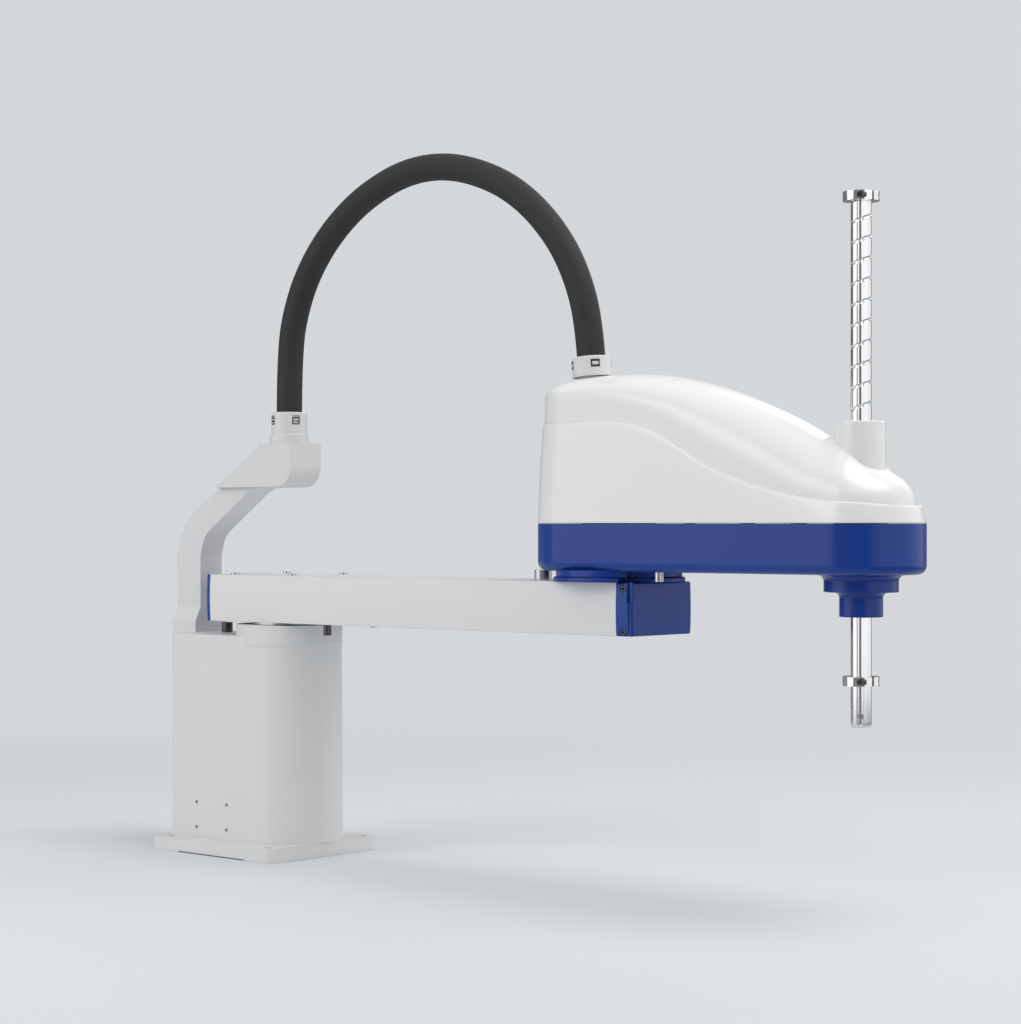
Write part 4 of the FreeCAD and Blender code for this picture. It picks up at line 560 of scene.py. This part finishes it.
def clouded_group(name, fine, fine_scale, cloud_scale, cloud, spread, detail):
    """A texture group whose colour is clouded by a soft noise. The last value given back is that noise about
    zero."""
    tree, inside, outside = group_tree(
        name,
        [("Vector", "NodeSocketVector", None), ("Colour", "NodeSocketColor", (0.8, 0.8, 0.8, 1)),
         (fine, "NodeSocketFloat", fine_scale), ("Cloud Scale", "NodeSocketFloat", cloud_scale),
         ("Cloud", "NodeSocketFloat", cloud), ("Roughness", "NodeSocketFloat", 0.4),
         ("Roughness Spread", "NodeSocketFloat", spread)],
        [("Colour", "NodeSocketColor"), ("Roughness", "NodeSocketFloat"), ("Height", "NodeSocketFloat")])
    place, scale = inside.outputs["Vector"], inside.outputs["Cloud Scale"]
    clouds = node(tree, "ShaderNodeTexNoise", {"Vector": place, "Scale": scale, "Detail": detail})
    centred = maths(tree, "SUBTRACT", clouds.outputs[0], 0.5)
    tone = maths(tree, "MULTIPLY_ADD", centred, inside.outputs["Cloud"], 1.0)
    tree.links.new(tinted(tree, inside.outputs["Colour"], tone), outside.inputs["Colour"])
    return tree, inside, outside, centred


def put_out(tree, inside, outside, variation, height):
    """Links a group's roughness, its value + spread * variation, and the height of its fine texture."""
    spread, middle = inside.outputs["Roughness Spread"], inside.outputs["Roughness"]
    rough = maths(tree, "MULTIPLY_ADD", variation, spread, middle)
    tree.links.new(rough, outside.inputs["Roughness"])
    tree.links.new(height, outside.inputs["Height"])


def paint_group():
    """Sprayed paint: a fine orange-peel height, cloudy brightness, and gloss that varies a little."""
    tree, inside, outside, clouds = clouded_group(
        "sprayed_paint", "Peel Scale", 700.0, cloud_scale=9.0, cloud=0.03, spread=0.05, detail=4.0)
    peel = node(tree, "ShaderNodeTexNoise",
                {"Vector": inside.outputs["Vector"], "Scale": inside.outputs["Peel Scale"], "Detail": 2.0})
    put_out(tree, inside, outside, clouds, peel.outputs[0])
    return tree


def turned_group():
    """Turned or ground metal: fine rings round the vertical axis, and slight stains."""
    tree, inside, outside, _ = clouded_group(
        "turned_metal", "Ring Scale", 1500.0, cloud_scale=30.0, cloud=0.06, spread=0.1, detail=3.0)
    stretch = node(tree, "ShaderNodeVectorMath", {0: inside.outputs["Vector"], 1: (0.02, 0.02, 1.0)},
                   operation="MULTIPLY")
    rings = node(tree, "ShaderNodeTexNoise",
                 {"Vector": stretch.outputs[0], "Scale": inside.outputs["Ring Scale"], "Detail": 2.0})
    put_out(tree, inside, outside, maths(tree, "SUBTRACT", rings.outputs[0], 0.5), rings.outputs[0])
    return tree


def moulded_group():
    """Moulded plastic or rubber: a fine spark-eroded grain with slight flow clouds."""
    tree, inside, outside, clouds = clouded_group(
        "moulded_plastic", "Grain Scale", 2200.0, cloud_scale=14.0, cloud=0.05, spread=0.08, detail=3.0)
    grain = node(tree, "ShaderNodeTexVoronoi",
                 {"Vector": inside.outputs["Vector"], "Scale": inside.outputs["Grain Scale"]})
    put_out(tree, inside, outside, clouds, grain.outputs["Distance"])
    return tree


PAINT = paint_group()
TURNED = turned_group()
MOULDED = moulded_group()


BUMP_DEPTH = 0.0001
COAT_ROUGHNESS = 0.1


def finish_material(name, group, colour, roughness, values=None, bump=0.2, edge=0.0, metal=0.0, coat=0.0,
                    specular=0.5):
    """A material with one texture group, a bump from its height, and edges rounded by a bevel where asked."""
    material = bpy.data.materials.new(name)
    material.use_nodes = True
    tree = material.node_tree
    shader = next(n for n in tree.nodes if n.type == "BSDF_PRINCIPLED")
    place = node(tree, "ShaderNodeTexCoord")
    texture = tree.nodes.new("ShaderNodeGroup")
    texture.node_tree = group
    tree.links.new(place.outputs["Object"], texture.inputs["Vector"])
    texture.inputs["Colour"].default_value = (*colour, 1)
    texture.inputs["Roughness"].default_value = roughness
    for key, value in (values or {}).items():
        texture.inputs[key].default_value = value
    tree.links.new(texture.outputs["Colour"], shader.inputs["Base Color"])
    tree.links.new(texture.outputs["Roughness"], shader.inputs["Roughness"])
    relief = node(tree, "ShaderNodeBump",
                  {"Strength": bump, "Distance": BUMP_DEPTH, "Height": texture.outputs["Height"]})
    if edge:
        rounded = node(tree, "ShaderNodeBevel", {"Radius": edge}, samples=4)
        tree.links.new(rounded.outputs[0], relief.inputs["Normal"])
    tree.links.new(relief.outputs[0], shader.inputs["Normal"])
    shader.inputs["Metallic"].default_value = metal
    shader.inputs["Coat Weight"].default_value = coat
    shader.inputs["Coat Roughness"].default_value = COAT_ROUGHNESS
    shader.inputs["Specular IOR Level"].default_value = specular
    return material


FINISHES = {
    "column_white": finish_material("column_enamel", PAINT, (0.66, 0.665, 0.67), 0.42, edge=0.0012,
                                    values={"Cloud": 0.02, "Peel Scale": 900.0}),
    "arm_white": finish_material("arm_enamel", PAINT, (0.70, 0.705, 0.71), 0.38, edge=0.0012,
                                 values={"Cloud": 0.02, "Peel Scale": 1100.0}),
    "cover_white": finish_material("cover_shell_white", MOULDED, (0.80, 0.80, 0.80), 0.30, bump=0.06,
                                   values={"Cloud": 0.015, "Grain Scale": 2600.0}, edge=0.0012, coat=0.15),
    "blue_paint": finish_material("blue_enamel", PAINT, (0.006, 0.042, 0.26), 0.28, edge=0.0012,
                                  values={"Cloud": 0.06, "Peel Scale": 800.0}, specular=0.3),
    "hose_black": finish_material("hose_sleeve", MOULDED, (0.028, 0.028, 0.029), 0.66, bump=0.25,
                                  values={"Cloud": 0.12, "Grain Scale": 1500.0}, specular=0.3),
    "gland_plastic": finish_material("gland_plastic_grey", MOULDED, (0.68, 0.68, 0.67), 0.40, bump=0.1,
                                     edge=0.0005),
    "polished_steel": finish_material("polished_shaft_steel", TURNED, (0.74, 0.74, 0.75), 0.13, bump=0.04,
                                      values={"Roughness Spread": 0.05}, metal=1.0),
    "bright_screws": finish_material("zinc_screw", TURNED, (0.55, 0.55, 0.56), 0.28, metal=1.0, bump=0.08,
                                     edge=0.0004),
    "dark_steel": finish_material("blackened_steel", TURNED, (0.10, 0.10, 0.105), 0.35, metal=1.0, bump=0.08,
                                  edge=0.0004),
    "machined_aluminium": finish_material("machined_alloy", TURNED, (0.62, 0.62, 0.63), 0.34, metal=1.0,
                                          bump=0.12),
    "bearing_steel": finish_material("ground_bearing_steel", TURNED, (0.50, 0.50, 0.51), 0.25, metal=1.0,
                                     bump=0.08),
    "motor_black": finish_material("motor_black_paint", PAINT, (0.03, 0.03, 0.032), 0.40, edge=0.001),
    "belt_rubber": finish_material("belt_black_rubber", MOULDED, (0.025, 0.025, 0.025), 0.65, bump=0.3),
    "socket_black": finish_material("socket_black_plastic", MOULDED, (0.03, 0.03, 0.03), 0.38, bump=0.1,
                                    edge=0.0005),
}


def dress(piece, material):
    """Puts one material in all of a piece's slots."""
    if not piece.data.materials:
        piece.data.materials.append(material)
    for socket in piece.material_slots:
        socket.material = material


for part in frame["record"]["subparts"]:
    dress(frame["nodes"][part["node"]], FINISHES[part["material_slot"]])
for piece in (hose_lower_sleeve, hose_upper_sleeve):
    dress(piece, FINISHES["hose_black"])
for piece in cover_pieces:
    dress(piece, FINISHES["cover_white"])
for piece, finish in zip(head_pieces, ("bright_screws", "dark_steel", "bright_screws", "bright_screws")):
    dress(piece, FINISHES[finish])
# The catch frames take the black plastic, which paints the shade in the gaps round each tongue
for piece in window_shade_pieces:
    dress(piece, FINISHES["socket_black"])
dress(shaft_piece, FINISHES["polished_steel"])


# Floor, world and lamps

BACKDROP = (0.66, 0.68, 0.70)
FLOOR_PAINT = (0.63, 0.65, 0.67)
FLOOR_SEEN_IN_METAL = 0.35
FLOOR_FADE = (0.7, 2.0)
WORLD_LOW = 0.14
WORLD_HIGH = 0.78


def pale_floor():
    """A wide disc that fades into the backdrop's colour, so that no horizon shows."""
    rings = np.array([0.0, 0.5, 1.0, 2.0, 4.0, 8.0, 16.0, 60.0])
    a = np.linspace(0, 2 * np.pi, 96, endpoint=False)
    x, y = np.outer(rings, np.cos(a)), np.outer(rings, np.sin(a))
    points = np.stack([x, y, np.zeros_like(x)], axis=2).reshape(-1, 3)
    floor = mesh_piece("studio_floor", points, grid_quads(len(rings), len(a), close_columns=True))
    weld(floor)
    material = bpy.data.materials.new("pale_floor")
    material.use_nodes = True
    tree = material.node_tree
    shader = next(n for n in tree.nodes if n.type == "BSDF_PRINCIPLED")
    out = next(n for n in tree.nodes if n.type == "OUTPUT_MATERIAL")
    shader.inputs["Base Color"].default_value = (*FLOOR_PAINT, 1)
    shader.inputs["Roughness"].default_value = 0.8
    place = node(tree, "ShaderNodeTexCoord")
    far = node(tree, "ShaderNodeVectorMath", {0: place.outputs["Object"]}, operation="LENGTH")
    share = node(tree, "ShaderNodeMapRange",
                 {"Value": far.outputs["Value"], "From Min": FLOOR_FADE[0], "From Max": FLOOR_FADE[1]},
                 interpolation_type="SMOOTHSTEP")
    path = tree.nodes.new("ShaderNodeLightPath")
    strength = node(tree, "ShaderNodeMapRange",
                    {"Value": path.outputs["Is Camera Ray"], "To Min": FLOOR_SEEN_IN_METAL})
    glow = node(tree, "ShaderNodeEmission", {"Color": (*BACKDROP, 1), "Strength": strength.outputs[0]})
    mix = node(tree, "ShaderNodeMixShader", {0: share.outputs[0], 1: shader.outputs[0], 2: glow.outputs[0]})
    tree.links.new(mix.outputs[0], out.inputs["Surface"])
    dress(floor, material)


def studio_world():
    """A plain soft surround. What the camera sees past the floor is the backdrop's colour."""
    world = bpy.data.worlds.new("studio")
    world.use_nodes = True
    tree = world.node_tree
    tree.nodes.clear()
    path = tree.nodes.new("ShaderNodeLightPath")
    place = tree.nodes.new("ShaderNodeTexCoord")
    split = node(tree, "ShaderNodeSeparateXYZ", {0: place.outputs["Generated"]})
    height = node(tree, "ShaderNodeMapRange", {"Value": split.outputs["Z"], "From Min": 0.0, "From Max": 0.9,
                                               "To Min": WORLD_LOW, "To Max": WORLD_HIGH})
    soft = node(tree, "ShaderNodeBackground", {"Color": (1, 1, 1, 1), "Strength": height.outputs[0]})
    seen = node(tree, "ShaderNodeBackground", {"Color": (*BACKDROP, 1), "Strength": 1.0})
    mix = node(tree, "ShaderNodeMixShader",
               {0: path.outputs["Is Camera Ray"], 1: soft.outputs[0], 2: seen.outputs[0]})
    out = tree.nodes.new("ShaderNodeOutputWorld")
    tree.links.new(mix.outputs[0], out.inputs["Surface"])
    bpy.context.scene.world = world


def softbox(name, place, aim, size, energy):
    """A rectangular lamp that faces its aim and that the camera doesn't see."""
    data = bpy.data.lights.new(name, "AREA")
    data.shape = "RECTANGLE"
    data.size, data.size_y = size
    data.energy = energy
    lamp = bpy.data.objects.new(name, data)
    lamp.visible_camera = False
    bpy.context.scene.collection.objects.link(lamp)
    lamp.location = place
    lamp.rotation_euler = (Vector(aim) - Vector(place)).to_track_quat("-Z", "Y").to_euler()


pale_floor()
studio_world()

# Each lamp's name, place, size and power
MIDDLE = (0.4, 0, 0.4)
LAMPS = (
    ("key_softbox", (1.6, 0.3, 2.7), (1.6, 1.6), 32),
    ("fill_softbox", (-0.6, -2.6, 2.0), (1.6, 1.2), 20),
    ("rim_softbox", (0.2, 2.4, 2.0), (1.8, 1.2), 12),
)
for name, place, size, energy in LAMPS:
    softbox(name, place, MIDDLE, size, energy)

# Low panels round the shaft give it the broad bright bands of the photograph, with a dark one between. Each
# has a name, the side of the shaft that it stands on, in degrees, its width and its power.
PANEL_TALL = 1.5
PANEL_AWAY = 2.6
PANELS = (("left_panel", -130, 2.2, 14), ("front_panel", -6, 3.0, 15), ("right_panel", 52, 2.8, 12))
for name, azimuth, wide, energy in PANELS:
    angle = math.radians(azimuth)
    spot = (QUILL + PANEL_AWAY * math.cos(angle), PANEL_AWAY * math.sin(angle), PANEL_TALL / 2)
    softbox(name, spot, (QUILL, 0, PANEL_TALL / 2), (wide, PANEL_TALL), energy)

scene = bpy.context.scene
scene.view_settings.view_transform = "Standard"
